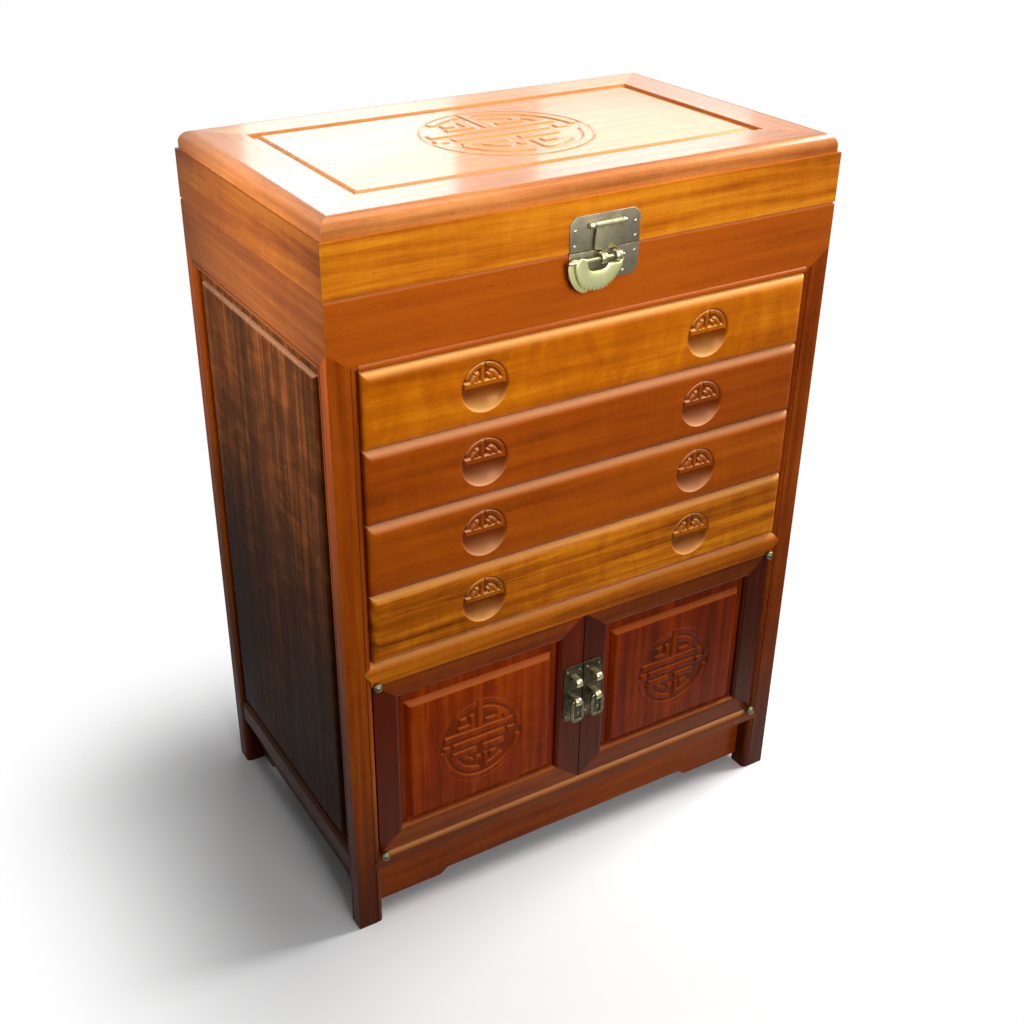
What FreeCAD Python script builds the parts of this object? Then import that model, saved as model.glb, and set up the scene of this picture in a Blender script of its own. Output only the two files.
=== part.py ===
import FreeCAD, Part
import math
import os
import Sketcher

# Storage cabinet in millimetres: a lidded well over four drawers over a two-door cupboard.
# +X is the cabinet's right as seen from the front, +Y runs to the back and +Z is up.
# The origin is on the floor, under the middle of the whole cabinet with its brasses.

SIZES = {
    # Case, measured over the wood
    "case_width": 560.0,
    "case_depth": 345.0,
    "case_height": 784.0,
    # Heights of the storeys, from the top down, and of the foot below the doors
    "top_frame_thick": 18.0,
    "lid_board_height": 49.0,
    "top_rail_height": 69.0,
    "mid_rail_height": 26.4,
    "bottom_rail_height": 26.0,
    "foot_height": 68.0,
    # Share of the height between top and bottom rails, less the mid rail, that drawers take
    "drawers_share": 0.58,
    # Corner posts
    "post_face": 29.0,
    "post_return": 22.5,
    "post_round": 5.5,
    "post_mitre_rise": 22.0,
    # Fine groove beside the rounded inner edges of posts and top rails
    "quirk_inset": 6.3,
    "quirk_width": 1.2,
    "quirk_depth": 1.0,
    # Top rails and lid boards
    "rail_thick": 18.0,
    "rail_bead": 4.5,
    "seam_round": 4.0,
    "lid_board_thick": 14.0,
    # Top frame of the lid
    "ledge_inset": 3.0,
    "top_frame_width": 52.0,
    "cornice_round": 12.0,
    # Mid rail and bottom rail of the front
    "moulding_depth": 20.0,
    "mid_nose_reach": 3.0,
    "mid_shoulder_depth": 5.0,
    "mid_nose_top_drop": 11.0,
    "mid_nose_base_drop": 18.5,
    "mid_round": 9.5,
    "mid_quirk_drop": 19.5,
    "mid_bead_reach": 1.0,
    "tip_face": 20.3,
    "mid_lower_tip_face": 27.0,
    "base_nose_reach": 2.0,
    "base_shoulder_depth": 4.0,
    "base_nose_top_drop": 7.0,
    "base_nose_base_drop": 16.0,
    "base_round": 7.0,
    "base_cove_depth": 8.0,
    "base_cove_round": 11.0,
    "base_tip_drop": 13.0,
    # Side and back rails, aprons
    "side_rail_inset": 1.5,
    "side_rail_round": 6.0,
    "apron_setback": 17.5,
    "apron_thick": 10.0,
    "apron_edge_level": 20.0,
    "apron_foot_level": 13.0,
    "apron_step_width": 12.0,
    "apron_step_round": 10.0,
    "front_step_inset": 91.0,
    "side_step_inset": 50.0,
    # Raised panels
    "panel_board_thick": 7.0,
    "side_moat_depth": 6.0,
    "side_field_depth": 1.5,
    "side_moat_width": 10.0,
    "side_bevel": 4.0,
    "back_board_thick": 8.0,
    "back_board_inset": 4.0,
    "door_moat_depth": 7.0,
    "door_moat_width": 8.5,
    "door_bevel": 6.0,
    "lid_moat_depth": 2.5,
    "lid_field_depth": 0.5,
    "lid_moat_width": 8.5,
    "lid_bevel": 2.5,
    # Inner boards
    "inner_board": 8.0,
    "dust_panel_drop": 4.0,
    # Drawers
    "drawer_count": 4.0,
    "drawer_gap": 1.0,
    "front_proud": 5.0,
    "front_thick": 16.0,
    "front_round": 7.5,
    "box_inset": 16.0,
    "box_back_space": 32.0,
    "box_wall": 8.0,
    "box_floor": 5.0,
    "box_lift": 4.0,
    "box_headroom": 9.5,
    "runner_clearance": 0.4,
    "runner_height": 6.0,
    "runner_lap": 8.0,
    # Carved finger pulls of the drawers
    "pull_place_share": 0.51,
    "pull_radius": 26.0,
    "pull_ring": 4.0,
    "pull_relief": 1.5,
    "pull_bar": 4.0,
    "pull_hollow": 9.0,
    # Doors
    "door_meeting_gap": 0.6,
    "door_side_gap": 0.5,
    "door_level_gap": 0.7,
    "door_face_depth": 2.0,
    "door_thick": 14.0,
    "door_back_chamfer": 5.0,
    "outer_stile": 28.5,
    "meeting_stile": 31.0,
    "door_rail": 25.0,
    "frame_round": 4.5,
    "medallion_share": 0.3,
    "medallion_ring": 6.0,
    "medallion_sink": 2.2,
    "medallion_bar": 6.0,
    "medallion_bar_pitch": 13.0,
    "lid_medallion_share": 0.375,
    "lid_medallion_ring": 9.0,
    # Ball pivots of the doors
    "pivot_ball": 5.0,
    "pivot_inset": 3.0,
    "pivot_reach": 3.4,
    "pivot_split": 0.3,
    "pivot_pin": 1.5,
    "pivot_pin_length": 3.2,
    "pin_fit": 0.06,
    "pivot_leaf": 1.2,
    "pivot_leaf_width": 9.0,
    "pivot_leaf_depth": 12.0,
    # Lock plates and staples
    "plate_thick": 1.5,
    "plate_half_width": 38.5,
    "plate_cant": 7.0,
    "plate_rise": 33.0,
    "plate_drop": 30.0,
    "plate_split": 0.3,
    "staple_spacing": 16.0,
    "staple_drop": 5.5,
    "staple_width": 4.5,
    "staple_radius": 5.0,
    "staple_hole": 2.6,
    "staple_reach": 9.5,
    # Hasp
    "hasp_rise": 24.0,
    "hasp_reach": 5.0,
    "hasp_knuckle": 3.0,
    "hasp_pin": 1.2,
    "hasp_half_width": 14.5,
    "hasp_ear": 3.5,
    "hasp_knob": 2.4,
    "hasp_side_gap": 0.3,
    "hasp_strap_thick": 1.8,
    "hasp_strap_lift": 0.6,
    # Fish-shaped padlock
    "lock_thick": 6.0,
    "lock_bar": 2.0,
    "lock_left": 44.0,
    "lock_lobe": 10.0,
    "lock_right": 17.5,
    "lock_horn": 5.5,
    "lock_top_drop": 1.5,
    "lock_belly_drop": 33.0,
    "lock_cradle_round": 24.0,
    "lock_belly_round": 34.0,
    "lock_bar_tail": 5.0,
    # Door plates and drop pulls
    "door_plate_width": 24.0,
    "door_plate_height": 73.0,
    "door_plate_lift": 11.7,
    "door_plate_round": 5.0,
    "door_staple_offset": 13.0,
    "door_staple_rise": 20.5,
    "door_staple_drop": 4.5,
    "door_staple_width": 6.0,
    "pull_wire": 1.75,
    "pull_ring_width": 17.0,
    "pull_ring_height": 29.0,
    # Lid hinges
    "lid_hinge_offset": 150.0,
    "lid_hinge_width": 50.0,
    "lid_hinge_knuckle": 4.0,
    "lid_hinge_pin": 1.5,
    "lid_hinge_leaf": 1.5,
    "lid_hinge_leaf_height": 24.0,
    "lid_hinge_gap": 0.3,
    # Overrun of every cut past what it cuts
    "overrun": 2.0,
}

# How near, in millimetres, an edge lies to a plane when it counts as in it
NEAR = 1e-4

DOC = FreeCAD.newDocument("storage_cabinet")
NODES = []


class Size:
    """A number of the sheet, or a sum made of such numbers, with the text that binds it."""

    def __init__(self, value, text):
        self.value = value
        self.text = text

    @staticmethod
    def of(other):
        """Take a plain count or zero as a size."""
        return other if isinstance(other, Size) else Size(float(other), repr(other))

    def _join(self, other, sign, value):
        return Size(value, "(" + self.text + " " + sign + " " + other.text + ")")

    def __add__(self, other):
        other = Size.of(other)
        return self._join(other, "+", self.value + other.value)

    def __sub__(self, other):
        other = Size.of(other)
        return self._join(other, "-", self.value - other.value)

    def __mul__(self, other):
        other = Size.of(other)
        return self._join(other, "*", self.value * other.value)

    def __truediv__(self, other):
        other = Size.of(other)
        return self._join(other, "/", self.value / other.value)

    def __neg__(self):
        return self * -1


def write_sheet():
    """Fill the sheet of driving dimensions and give one size for each of its cells."""
    sheet = DOC.addObject("Spreadsheet::Sheet", "sizes")
    given = {}
    for row, (name, number) in enumerate(SIZES.items(), start=1):
        sheet.set("A" + str(row), name)
        sheet.set("B" + str(row), str(number))
        sheet.setAlias("B" + str(row), name)
        given[name] = Size(number, "sizes." + name)
    DOC.recompute()
    return given


S = write_sheet()
ZERO = Size.of(0)

# Planes that most pieces share
FRONT_REACH = S["plate_thick"] + S["staple_reach"] + S["staple_radius"]
BACK_REACH = S["lid_hinge_knuckle"] * 2 + S["lid_hinge_gap"]
FRONT = (FRONT_REACH - BACK_REACH - S["case_depth"]) / 2
BACK = FRONT + S["case_depth"]
MIDDLE = FRONT + S["case_depth"] / 2
HALF_WIDTH = S["case_width"] / 2
HALF_DEPTH = S["case_depth"] / 2
POST_INNER = HALF_WIDTH - S["post_face"]
SIDE_OPENING = HALF_DEPTH - S["post_return"]
BOARD_INNER = HALF_WIDTH - S["side_moat_depth"] - S["panel_board_thick"]
RAIL_INNER = HALF_WIDTH - S["rail_thick"]

# Heights of the main lines above the floor
LEDGE = S["case_height"] - S["top_frame_thick"]
SEAM = LEDGE - S["lid_board_height"]
DRAWERS_TOP = SEAM - S["top_rail_height"]
DOORS_BASE = S["foot_height"] + S["bottom_rail_height"]
STOREYS = DRAWERS_TOP - DOORS_BASE - S["mid_rail_height"]
DRAWERS_BASE = DRAWERS_TOP - STOREYS * S["drawers_share"]
DOORS_TOP = DRAWERS_BASE - S["mid_rail_height"]
PITCH = (DRAWERS_TOP - DRAWERS_BASE) / S["drawer_count"]
POST_TOP = DRAWERS_TOP + S["post_mitre_rise"]
BACK_BOARD = BACK - S["back_board_inset"] - S["back_board_thick"]


def bind(thing, path, size):
    """Bind one property of a thing to the sheet."""
    thing.setExpression(path, Size.of(size).text)


def place(thing, at, axis=(0, 0, 1), turn=0):
    """Put a thing at a bound place, turned by whole degrees about an axis."""
    rotation = FreeCAD.Rotation(FreeCAD.Vector(*axis), turn)
    thing.Placement = FreeCAD.Placement(FreeCAD.Vector(), rotation)
    for letter, size in zip("xyz", at):
        bind(thing, "Placement.Base." + letter, size)


def keep(label, thing):
    """Name a thing as a sub-part that is written out."""
    thing.Label = label
    NODES.append(thing)
    return thing


def box(low, high):
    """A block between two corners."""
    block = DOC.addObject("Part::Box", "block")
    for name, start, end in zip(("Length", "Width", "Height"), low, high):
        bind(block, name, end - start)
    place(block, low)
    return block


def rod(start, axis, radius, length):
    """A round bar from a start point along X, Y or Z."""
    bar = DOC.addObject("Part::Cylinder", "bar")
    bind(bar, "Radius", radius)
    bind(bar, "Height", length)
    turns = {"x": ((0, 1, 0), 90), "y": ((1, 0, 0), -90), "z": ((0, 0, 1), 0)}
    place(bar, start, *turns[axis])
    return bar


def ball(centre, radius):
    """A ball."""
    sphere = DOC.addObject("Part::Sphere", "ball")
    bind(sphere, "Radius", radius)
    place(sphere, centre)
    return sphere


def cut(base, tool):
    """What is left of the base without the tool."""
    rest = DOC.addObject("Part::Cut", "rest")
    rest.Base = base
    rest.Tool = tool
    return rest


def common(base, tool):
    """What two things share."""
    shared = DOC.addObject("Part::Common", "shared")
    shared.Base = base
    shared.Tool = tool
    return shared


def join(*things):
    """Several overlapping or touching things as one solid."""
    whole = DOC.addObject("Part::MultiFuse", "whole")
    whole.Shapes = list(things)
    whole.Refine = True
    return whole


def group(*things):
    """Several separate solids as one node."""
    together = DOC.addObject("Part::Compound", "group")
    together.Links = list(things)
    return together


def new_body():
    """An empty body for sketched pieces."""
    return DOC.addObject("PartDesign::Body", "piece")


def rectangle(left, right, low, high):
    """The four corners of a rectangle."""
    return [(left, low), (right, low), (right, high), (left, high)]


def arc_between(start, end, radius, leftwards):
    """The arc of a radius from start to end that turns left or right on its way."""
    chord = end - start
    rise = math.sqrt(radius * radius - chord.Length * chord.Length / 4)
    side = FreeCAD.Vector(-chord.y, chord.x, 0).normalize()
    centre = start + chord / 2 + side * (rise if leftwards else -rise)
    circle = Part.Circle(centre, FreeCAD.Vector(0, 0, 1), radius)
    first, last = (start, end) if leftwards else (end, start)
    return Part.ArcOfCircle(circle, circle.parameter(first), circle.parameter(last))


def draw(body, role, *outlines):
    """Sketch closed outlines on one of the body's own planes.

    A corner is (across, up). With (across, up, radius, "left") or "right" the stretch
    to the next corner is an arc that turns that way.
    """
    sketch = body.newObject("Sketcher::SketchObject", "outline")
    plane = [item for item in body.Origin.OriginFeatures if item.Role == role][0]
    sketch.AttachmentSupport = (plane, "")
    sketch.MapMode = "FlatFace"
    for corners in outlines:
        draw_outline(sketch, corners)
    return sketch


def draw_outline(sketch, corners):
    """Add one closed outline to a sketch and bind its corners and radii."""
    first = sketch.GeometryCount
    ends = []
    for index, corner in enumerate(corners):
        after = corners[(index + 1) % len(corners)]
        start = FreeCAD.Vector(corner[0].value, corner[1].value, 0)
        end = FreeCAD.Vector(after[0].value, after[1].value, 0)
        if len(corner) == 2:
            sketch.addGeometry(Part.LineSegment(start, end), False)
            ends.append((1, 2))
        else:
            leftwards = corner[3] == "left"
            sketch.addGeometry(arc_between(start, end, corner[2].value, leftwards), False)
            ends.append((1, 2) if leftwards else (2, 1))
    for index, corner in enumerate(corners):
        here = first + index
        following = (index + 1) % len(corners)
        sketch.addConstraint(Sketcher.Constraint(
            "Coincident", here, ends[index][1], first + following, ends[following][0]))
        for kind, size in (("DistanceX", corner[0]), ("DistanceY", corner[1])):
            number = sketch.addConstraint(Sketcher.Constraint(
                kind, here, ends[index][0], size.value))
            bind(sketch, "Constraints[" + str(number) + "]", size)
        if len(corner) > 2:
            number = sketch.addConstraint(Sketcher.Constraint("Radius", here, corner[2].value))
            bind(sketch, "Constraints[" + str(number) + "]", corner[2])


def pad(body, role, corners, length):
    """Raise an outline into a solid along +X, +Y or +Z."""
    feature = body.newObject("PartDesign::Pad", "raised")
    feature.Profile = draw(body, role, corners)
    bind(feature, "Length", length)
    feature.Reversed = role == "XZ_Plane"
    return body


def pocket_through(body, role, *outlines):
    """Cut outlines right through a body, to both sides of their plane."""
    feature = body.newObject("PartDesign::Pocket", "sunk")
    feature.Profile = draw(body, role, *outlines)
    feature.Type = "ThroughAll"
    feature.SideType = "Symmetric"
    return body


def soften(body, kind, size, **planes):
    """Round or chamfer the edges of a body that lie in all of the given planes."""
    DOC.recompute()
    names = []
    for number, edge in enumerate(body.Shape.Edges, start=1):
        bounds = edge.BoundBox
        spans = {"x": (bounds.XMin, bounds.XMax), "y": (bounds.YMin, bounds.YMax),
                 "z": (bounds.ZMin, bounds.ZMax)}
        if all(abs(end - level.value) < NEAR for letter, level in planes.items()
               for end in spans[letter]):
            names.append("Edge" + str(number))
    base = body.Tip
    feature = body.newObject("PartDesign::" + kind, kind.lower())
    feature.Base = (base, names)
    bind(feature, "Radius" if kind == "Fillet" else "Size", size)
    return body


def plank(low, high):
    """A sketched board between two corners, whose front face is at its own y of zero."""
    body = new_body()
    pad(body, "XZ_Plane", rectangle(low[0], high[0], low[2], high[2]), high[1] - low[1])
    place(body, (ZERO, low[1], ZERO))
    return body


def mitred_member(length, width, height):
    """A board that lies flat with its long outer edge along X at y = 0 and both ends mitred."""
    body = new_body()
    corners = [(-length / 2, ZERO), (length / 2, ZERO),
               (length / 2 - width, width), (width - length / 2, width)]
    return pad(body, "XY_Plane", corners, height)


# The four walls: name, turn in degrees, outer length and place of the outer face
def wall_places(inset):
    """Yield each wall's name, turn, length and place for pieces set in by an inset."""
    long_side = S["case_width"] - inset * 2
    short_side = S["case_depth"] - inset * 2
    yield "front", 0, long_side, (ZERO, FRONT + inset)
    yield "right", 90, short_side, (HALF_WIDTH - inset, MIDDLE)
    yield "rear", 180, long_side, (ZERO, BACK - inset)
    yield "left", -90, short_side, (inset - HALF_WIDTH, MIDDLE)


def top_rails():
    """Four mitred rails round the well, with mitred feet that meet the corner posts."""
    rails = []
    depth = SEAM - DRAWERS_TOP
    for side, turn, length, (across, along) in wall_places(ZERO):
        body = mitred_member(length, S["rail_thick"], depth)
        soften(body, "Fillet", S["rail_bead"], y=ZERO, z=ZERO)
        soften(body, "Fillet", S["seam_round"], y=ZERO, z=depth)
        face = S["post_face"] if side in ("front", "rear") else S["post_return"]
        slope = S["post_mitre_rise"] / face
        quirk = S["quirk_inset"]
        pocket_through(body, "YZ_Plane", rectangle(-S["overrun"], S["quirk_depth"], quirk * slope,
                                                   (quirk + S["quirk_width"]) * slope))
        outlines = []
        for hand in (-1, 1):
            end = length / 2 * hand
            inner = (length / 2 - face) * hand
            outside = (length / 2 + S["overrun"]) * hand
            rise = POST_TOP - DRAWERS_TOP
            outlines.append([(inner, -S["overrun"]), (inner, ZERO), (end, rise),
                             (outside, rise), (outside, -S["overrun"])])
        pocket_through(body, "XZ_Plane", *outlines)
        place(body, (across, along, DRAWERS_TOP), turn=turn)
        rails.append(keep(side + "_top_rail", body))
    return rails


def rail_quirks():
    """The room inside the top rails' fine grooves, as far out as the posts' own grooves."""
    rooms = []
    depth = S["quirk_depth"]
    inset = S["quirk_inset"]
    for far, near in ((FRONT - S["overrun"], FRONT + depth), (BACK - depth, BACK + S["overrun"])):
        slope = S["post_mitre_rise"] / S["post_face"]
        rooms.append(box((-POST_INNER - inset, far, DRAWERS_TOP + inset * slope),
                         (POST_INNER + inset, near,
                          DRAWERS_TOP + (inset + S["quirk_width"]) * slope)))
    reach = SIDE_OPENING + inset
    for far, near in ((-HALF_WIDTH - S["overrun"], depth - HALF_WIDTH),
                      (HALF_WIDTH - depth, HALF_WIDTH + S["overrun"])):
        slope = S["post_mitre_rise"] / S["post_return"]
        rooms.append(box((far, MIDDLE - reach, DRAWERS_TOP + inset * slope),
                         (near, MIDDLE + reach,
                          DRAWERS_TOP + (inset + S["quirk_width"]) * slope)))
    return rooms


def rail_end_cut(hand, levels):
    """The outline outside a pointed rail end: points of (face inset, level) from the top down."""
    outside = (HALF_WIDTH + S["overrun"]) * hand
    corners = [(outside, levels[0][1] + S["overrun"])]
    corners.append(((HALF_WIDTH - levels[0][0]) * hand, levels[0][1] + S["overrun"]))
    for inset, level in levels:
        corners.append(((HALF_WIDTH - inset) * hand, level))
    corners.append(((HALF_WIDTH - levels[-1][0]) * hand, levels[-1][1] - S["overrun"]))
    corners.append((outside, levels[-1][1] - S["overrun"]))
    return corners


def moulded_rail(label, profile, levels):
    """A front rail: a moulding drawn across it, run from side to side, with pointed ends."""
    body = new_body()
    pad(body, "YZ_Plane", profile, S["case_width"])
    pocket_ends = [[(across + HALF_WIDTH, up) for across, up in rail_end_cut(hand, levels)]
                   for hand in (-1, 1)]
    pocket_through(body, "XZ_Plane", *pocket_ends)
    place(body, (-HALF_WIDTH, FRONT, ZERO))
    return keep(label, body)


def mid_rail():
    """The rail between the drawers and the doors."""
    top = DRAWERS_BASE
    base = DOORS_TOP
    nose_top = top - S["mid_nose_top_drop"]
    nose_base = top - S["mid_nose_base_drop"]
    quirk = top - S["mid_quirk_drop"]
    profile = [
        (S["moulding_depth"], base),
        (S["moulding_depth"], top),
        (S["mid_shoulder_depth"], top, S["mid_round"], "left"),
        (-S["mid_nose_reach"], nose_top),
        (-S["mid_nose_reach"], nose_base),
        (-S["mid_bead_reach"], quirk),
        (-S["mid_bead_reach"], base),
    ]
    levels = [(S["post_face"], top), (S["tip_face"], nose_top),
              (S["mid_lower_tip_face"], quirk), (S["mid_lower_tip_face"], base)]
    return moulded_rail("mid_rail", profile, levels)


def front_bottom_rail():
    """The rail under the doors, which coves back to the apron."""
    top = DOORS_BASE
    base = S["foot_height"]
    profile = [
        (S["moulding_depth"], base),
        (S["moulding_depth"], top),
        (S["base_shoulder_depth"], top, S["base_round"], "left"),
        (-S["base_nose_reach"], top - S["base_nose_top_drop"]),
        (-S["base_nose_reach"], top - S["base_nose_base_drop"], S["base_cove_round"], "right"),
        (S["base_cove_depth"], base),
    ]
    levels = [(S["post_face"], top), (S["tip_face"], top - S["base_tip_drop"]), (S["post_face"], base)]
    return moulded_rail("front_bottom_rail", profile, levels)


def side_bottom_rail(label, hand):
    """A plain rail low on one side, between the front and rear posts."""
    outer = HALF_WIDTH - S["side_rail_inset"]
    body = new_body()
    profile = rectangle(MIDDLE - SIDE_OPENING, MIDDLE + SIDE_OPENING,
                        S["foot_height"], DOORS_BASE)
    pad(body, "YZ_Plane", profile, outer - RAIL_INNER)
    place(body, (RAIL_INNER if hand > 0 else -outer, ZERO, ZERO))
    soften(body, "Fillet", S["side_rail_round"], x=outer * hand, z=DOORS_BASE)
    return keep(label, body)


def rear_bottom_rail():
    """The rail low on the back, between the rear posts."""
    return keep("rear_bottom_rail", plank(
        (-POST_INNER, BACK - S["rail_thick"], S["foot_height"]),
        (POST_INNER, BACK - S["side_rail_inset"], DOORS_BASE)))


def corner_post(label, side, end, tools):
    """One corner post from floor to top rail, notched for the rails and clear of the well."""
    outer_x = HALF_WIDTH * side
    inner_x = POST_INNER * side
    outer_y = MIDDLE + HALF_DEPTH * end
    inner_y = MIDDLE + SIDE_OPENING * end
    body = new_body()
    pad(body, "XY_Plane", rectangle(outer_x, inner_x, outer_y, inner_y), POST_TOP)
    soften(body, "Fillet", S["post_round"], x=inner_x, y=outer_y)
    soften(body, "Fillet", S["post_round"], x=outer_x, y=inner_y)
    near = S["quirk_inset"]
    far = near + S["quirk_width"]
    front_quirk = rectangle(inner_x + near * side, inner_x + far * side,
                            outer_y - S["quirk_depth"] * end, outer_y + S["overrun"] * end)
    side_quirk = rectangle(outer_x - S["quirk_depth"] * side, outer_x + S["overrun"] * side,
                           inner_y + near * end, inner_y + far * end)
    pocket_through(body, "XY_Plane", front_quirk, side_quirk)
    return keep(label, cut(body, tools))


def apron(half_length, step_inset):
    """A shaped board under a rail, its lower edge stepping down in a cyma to each foot."""
    body = new_body()
    start = half_length - step_inset
    end = start + S["apron_step_width"]
    top = S["foot_height"]
    edge = S["apron_edge_level"]
    foot = S["apron_foot_level"]
    middle = (edge + foot) / 2
    turn = (start + end) / 2
    corners = [
        (-half_length, top),
        (-half_length, foot),
        (-end, foot, S["apron_step_round"], "left"),
        (-turn, middle, S["apron_step_round"], "right"),
        (-start, edge),
        (start, edge, S["apron_step_round"], "right"),
        (turn, middle, S["apron_step_round"], "left"),
        (end, foot),
        (half_length, foot),
        (half_length, top),
    ]
    return pad(body, "XZ_Plane", corners, S["apron_thick"])


def aprons():
    """The front apron and the two side aprons."""
    front = apron(POST_INNER, S["front_step_inset"])
    place(front, (ZERO, FRONT + S["apron_setback"], ZERO))
    keep("front_apron", front)
    sides = []
    for hand in (-1, 1):
        side = apron(SIDE_OPENING, S["side_step_inset"])
        place(side, ((HALF_WIDTH - S["apron_setback"]) * hand, MIDDLE, ZERO), turn=90 * hand)
        sides.append(side)
    keep("side_aprons", group(*sides))


def raised_panel(half_width, low, high, moat_width, bevel, moat_depth, field_depth):
    """A board with a raised field that slopes into a moat, facing -Y, its frame at y = 0."""
    board = box((-half_width, moat_depth, low),
                (half_width, moat_depth + S["panel_board_thick"], high))
    field = DOC.addObject("Part::Wedge", "field")
    inset = moat_width + bevel
    bind(field, "Xmin", inset - half_width)
    bind(field, "Xmax", half_width - inset)
    bind(field, "Zmin", low + inset)
    bind(field, "Zmax", high - inset)
    bind(field, "X2min", moat_width - half_width)
    bind(field, "X2max", half_width - moat_width)
    bind(field, "Z2min", low + moat_width)
    bind(field, "Z2max", high - moat_width)
    bind(field, "Ymin", field_depth)
    bind(field, "Ymax", moat_depth)
    return board, field


def side_panel(label, hand):
    """One raised side panel between the posts and the side rails."""
    board, field = raised_panel(SIDE_OPENING, DOORS_BASE, DRAWERS_TOP,
                                S["side_moat_width"], S["side_bevel"],
                                S["side_moat_depth"], S["side_field_depth"])
    panel = join(board, field)
    place(panel, (HALF_WIDTH * hand, MIDDLE, ZERO), turn=90 * hand)
    return keep(label, panel)


def back_panel():
    """The plain back board between the rear posts."""
    return keep("back_panel", box(
        (-POST_INNER, BACK_BOARD, DOORS_BASE),
        (POST_INNER, BACK_BOARD + S["back_board_thick"], DRAWERS_TOP)))


def inner_boards(posts):
    """The floor of the well, the dust panel under the drawers and the cupboard's floor."""
    back = BACK - S["rail_thick"]
    under = DRAWERS_BASE - S["dust_panel_drop"]
    thick = S["inner_board"]
    levels = {
        "well_floor": (RAIL_INNER, FRONT + S["rail_thick"], back,
                       DRAWERS_TOP + thick),
        "drawer_dust_panel": (BOARD_INNER, FRONT + S["moulding_depth"], BACK_BOARD, under),
        "cupboard_floor": (RAIL_INNER, FRONT + S["moulding_depth"], back,
                           DOORS_BASE),
    }
    for label, (half, near, far, top) in levels.items():
        keep(label, cut(box((-half, near, top - thick), (half, far, top)), posts))


def drawer_level(number):
    """The height of the lower edge of a drawer front."""
    return DRAWERS_BASE + PITCH * number + S["drawer_gap"] / 2


def drawer_runners():
    """A pair of runners for each drawer, between the front and rear posts."""
    runners = []
    near = FRONT + S["post_return"]
    far = BACK - S["post_return"]
    lap = POST_INNER - S["box_inset"] - S["runner_lap"]
    for number in range(int(SIZES["drawer_count"])):
        top = drawer_level(number) + S["box_lift"] - S["runner_clearance"]
        low = top - S["runner_height"]
        runners.append(box((-BOARD_INNER, near, low), (-lap, far, top)))
        runners.append(box((lap, near, low), (BOARD_INNER, far, top)))
    keep("drawer_runners", group(*runners))


def finger_pull_hollow(centre_x, centre_z, face):
    """What is cut away for one carved pull: a shallow ground and a deep lower half."""
    inner = S["pull_radius"] - S["pull_ring"]
    start = face - S["overrun"]
    ground = rod((centre_x, start, centre_z), "y", inner, S["pull_relief"] + S["overrun"])
    deep = rod((centre_x, start, centre_z), "y", inner, S["pull_hollow"] + S["overrun"])
    lower = box((centre_x - inner, start, centre_z - inner),
                (centre_x + inner, face + S["pull_hollow"], centre_z - S["pull_bar"] / 2))
    bar = box((centre_x - S["pull_radius"], start - S["overrun"],
               centre_z - S["pull_bar"] / 2),
              (centre_x + S["pull_radius"], face + S["pull_hollow"],
               centre_z + S["pull_bar"] / 2))
    return cut(join(ground, common(deep, lower)), bar)


def drawer(number):
    """One drawer: a rounded front with two carved pulls, and a box behind it."""
    label = "drawer_" + str(number + 1)
    low = drawer_level(number)
    high = low + PITCH - S["drawer_gap"]
    face = FRONT - S["front_proud"]
    half = POST_INNER - S["drawer_gap"]
    front = plank((-half, face, low), (half, face + S["front_thick"], high))
    soften(front, "Fillet", S["front_round"], y=face)
    middle = (low + high) / 2
    hollows = [finger_pull_hollow(POST_INNER * S["pull_place_share"] * hand, middle, face) for hand in (-1, 1)]
    keep(label + "_front", cut(front, group(*hollows)))
    outer = POST_INNER - S["box_inset"]
    inner = outer - S["box_wall"]
    near = face + S["front_thick"]
    far = BACK_BOARD - S["box_back_space"]
    base = low + S["box_lift"]
    top = high - S["box_headroom"]
    left = box((-outer, near, base), (-inner, far, top))
    right = box((inner, near, base), (outer, far, top))
    back = box((-inner, far - S["box_wall"], base), (inner, far, top))
    floor = box((-inner, near, base), (inner, far - S["box_wall"], base + S["box_floor"]))
    keep(label + "_box", group(left, right, back, floor))


def lid_boards():
    """The four mitred boards that make the sides of the lid."""
    for side, turn, length, (across, along) in wall_places(ZERO):
        body = mitred_member(length, S["lid_board_thick"], LEDGE - SEAM)
        place(body, (across, along, SEAM), turn=turn)
        keep("lid_" + side + "_board", body)


def top_frame():
    """The four mitred members of the lid's top, rounded at their outer arris."""
    height = S["case_height"] - LEDGE
    for side, turn, length, (across, along) in wall_places(S["ledge_inset"]):
        body = mitred_member(length, S["top_frame_width"], height)
        soften(body, "Fillet", S["cornice_round"], y=ZERO, z=height)
        place(body, (across, along, LEDGE), turn=turn)
        keep("top_" + side + "_member", body)


def medallion(panel, centre_z, radius, ring, field_depth):
    """Sink a round ground into a panel and leave a ring and four cross bars standing."""
    start = field_depth - S["overrun"]
    depth = S["overrun"] + S["medallion_sink"]
    ground = rod((ZERO, start, centre_z), "y", radius - ring, depth)
    inner = radius - ring
    bars = []
    for step in (-3, -1, 1, 3):
        middle = centre_z + S["medallion_bar_pitch"] * step / 2
        bars.append(box((-inner, start - S["overrun"], middle - S["medallion_bar"] / 2),
                        (inner, field_depth + S["medallion_sink"] + S["overrun"],
                         middle + S["medallion_bar"] / 2)))
    return cut(panel, cut(ground, group(*bars)))


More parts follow.
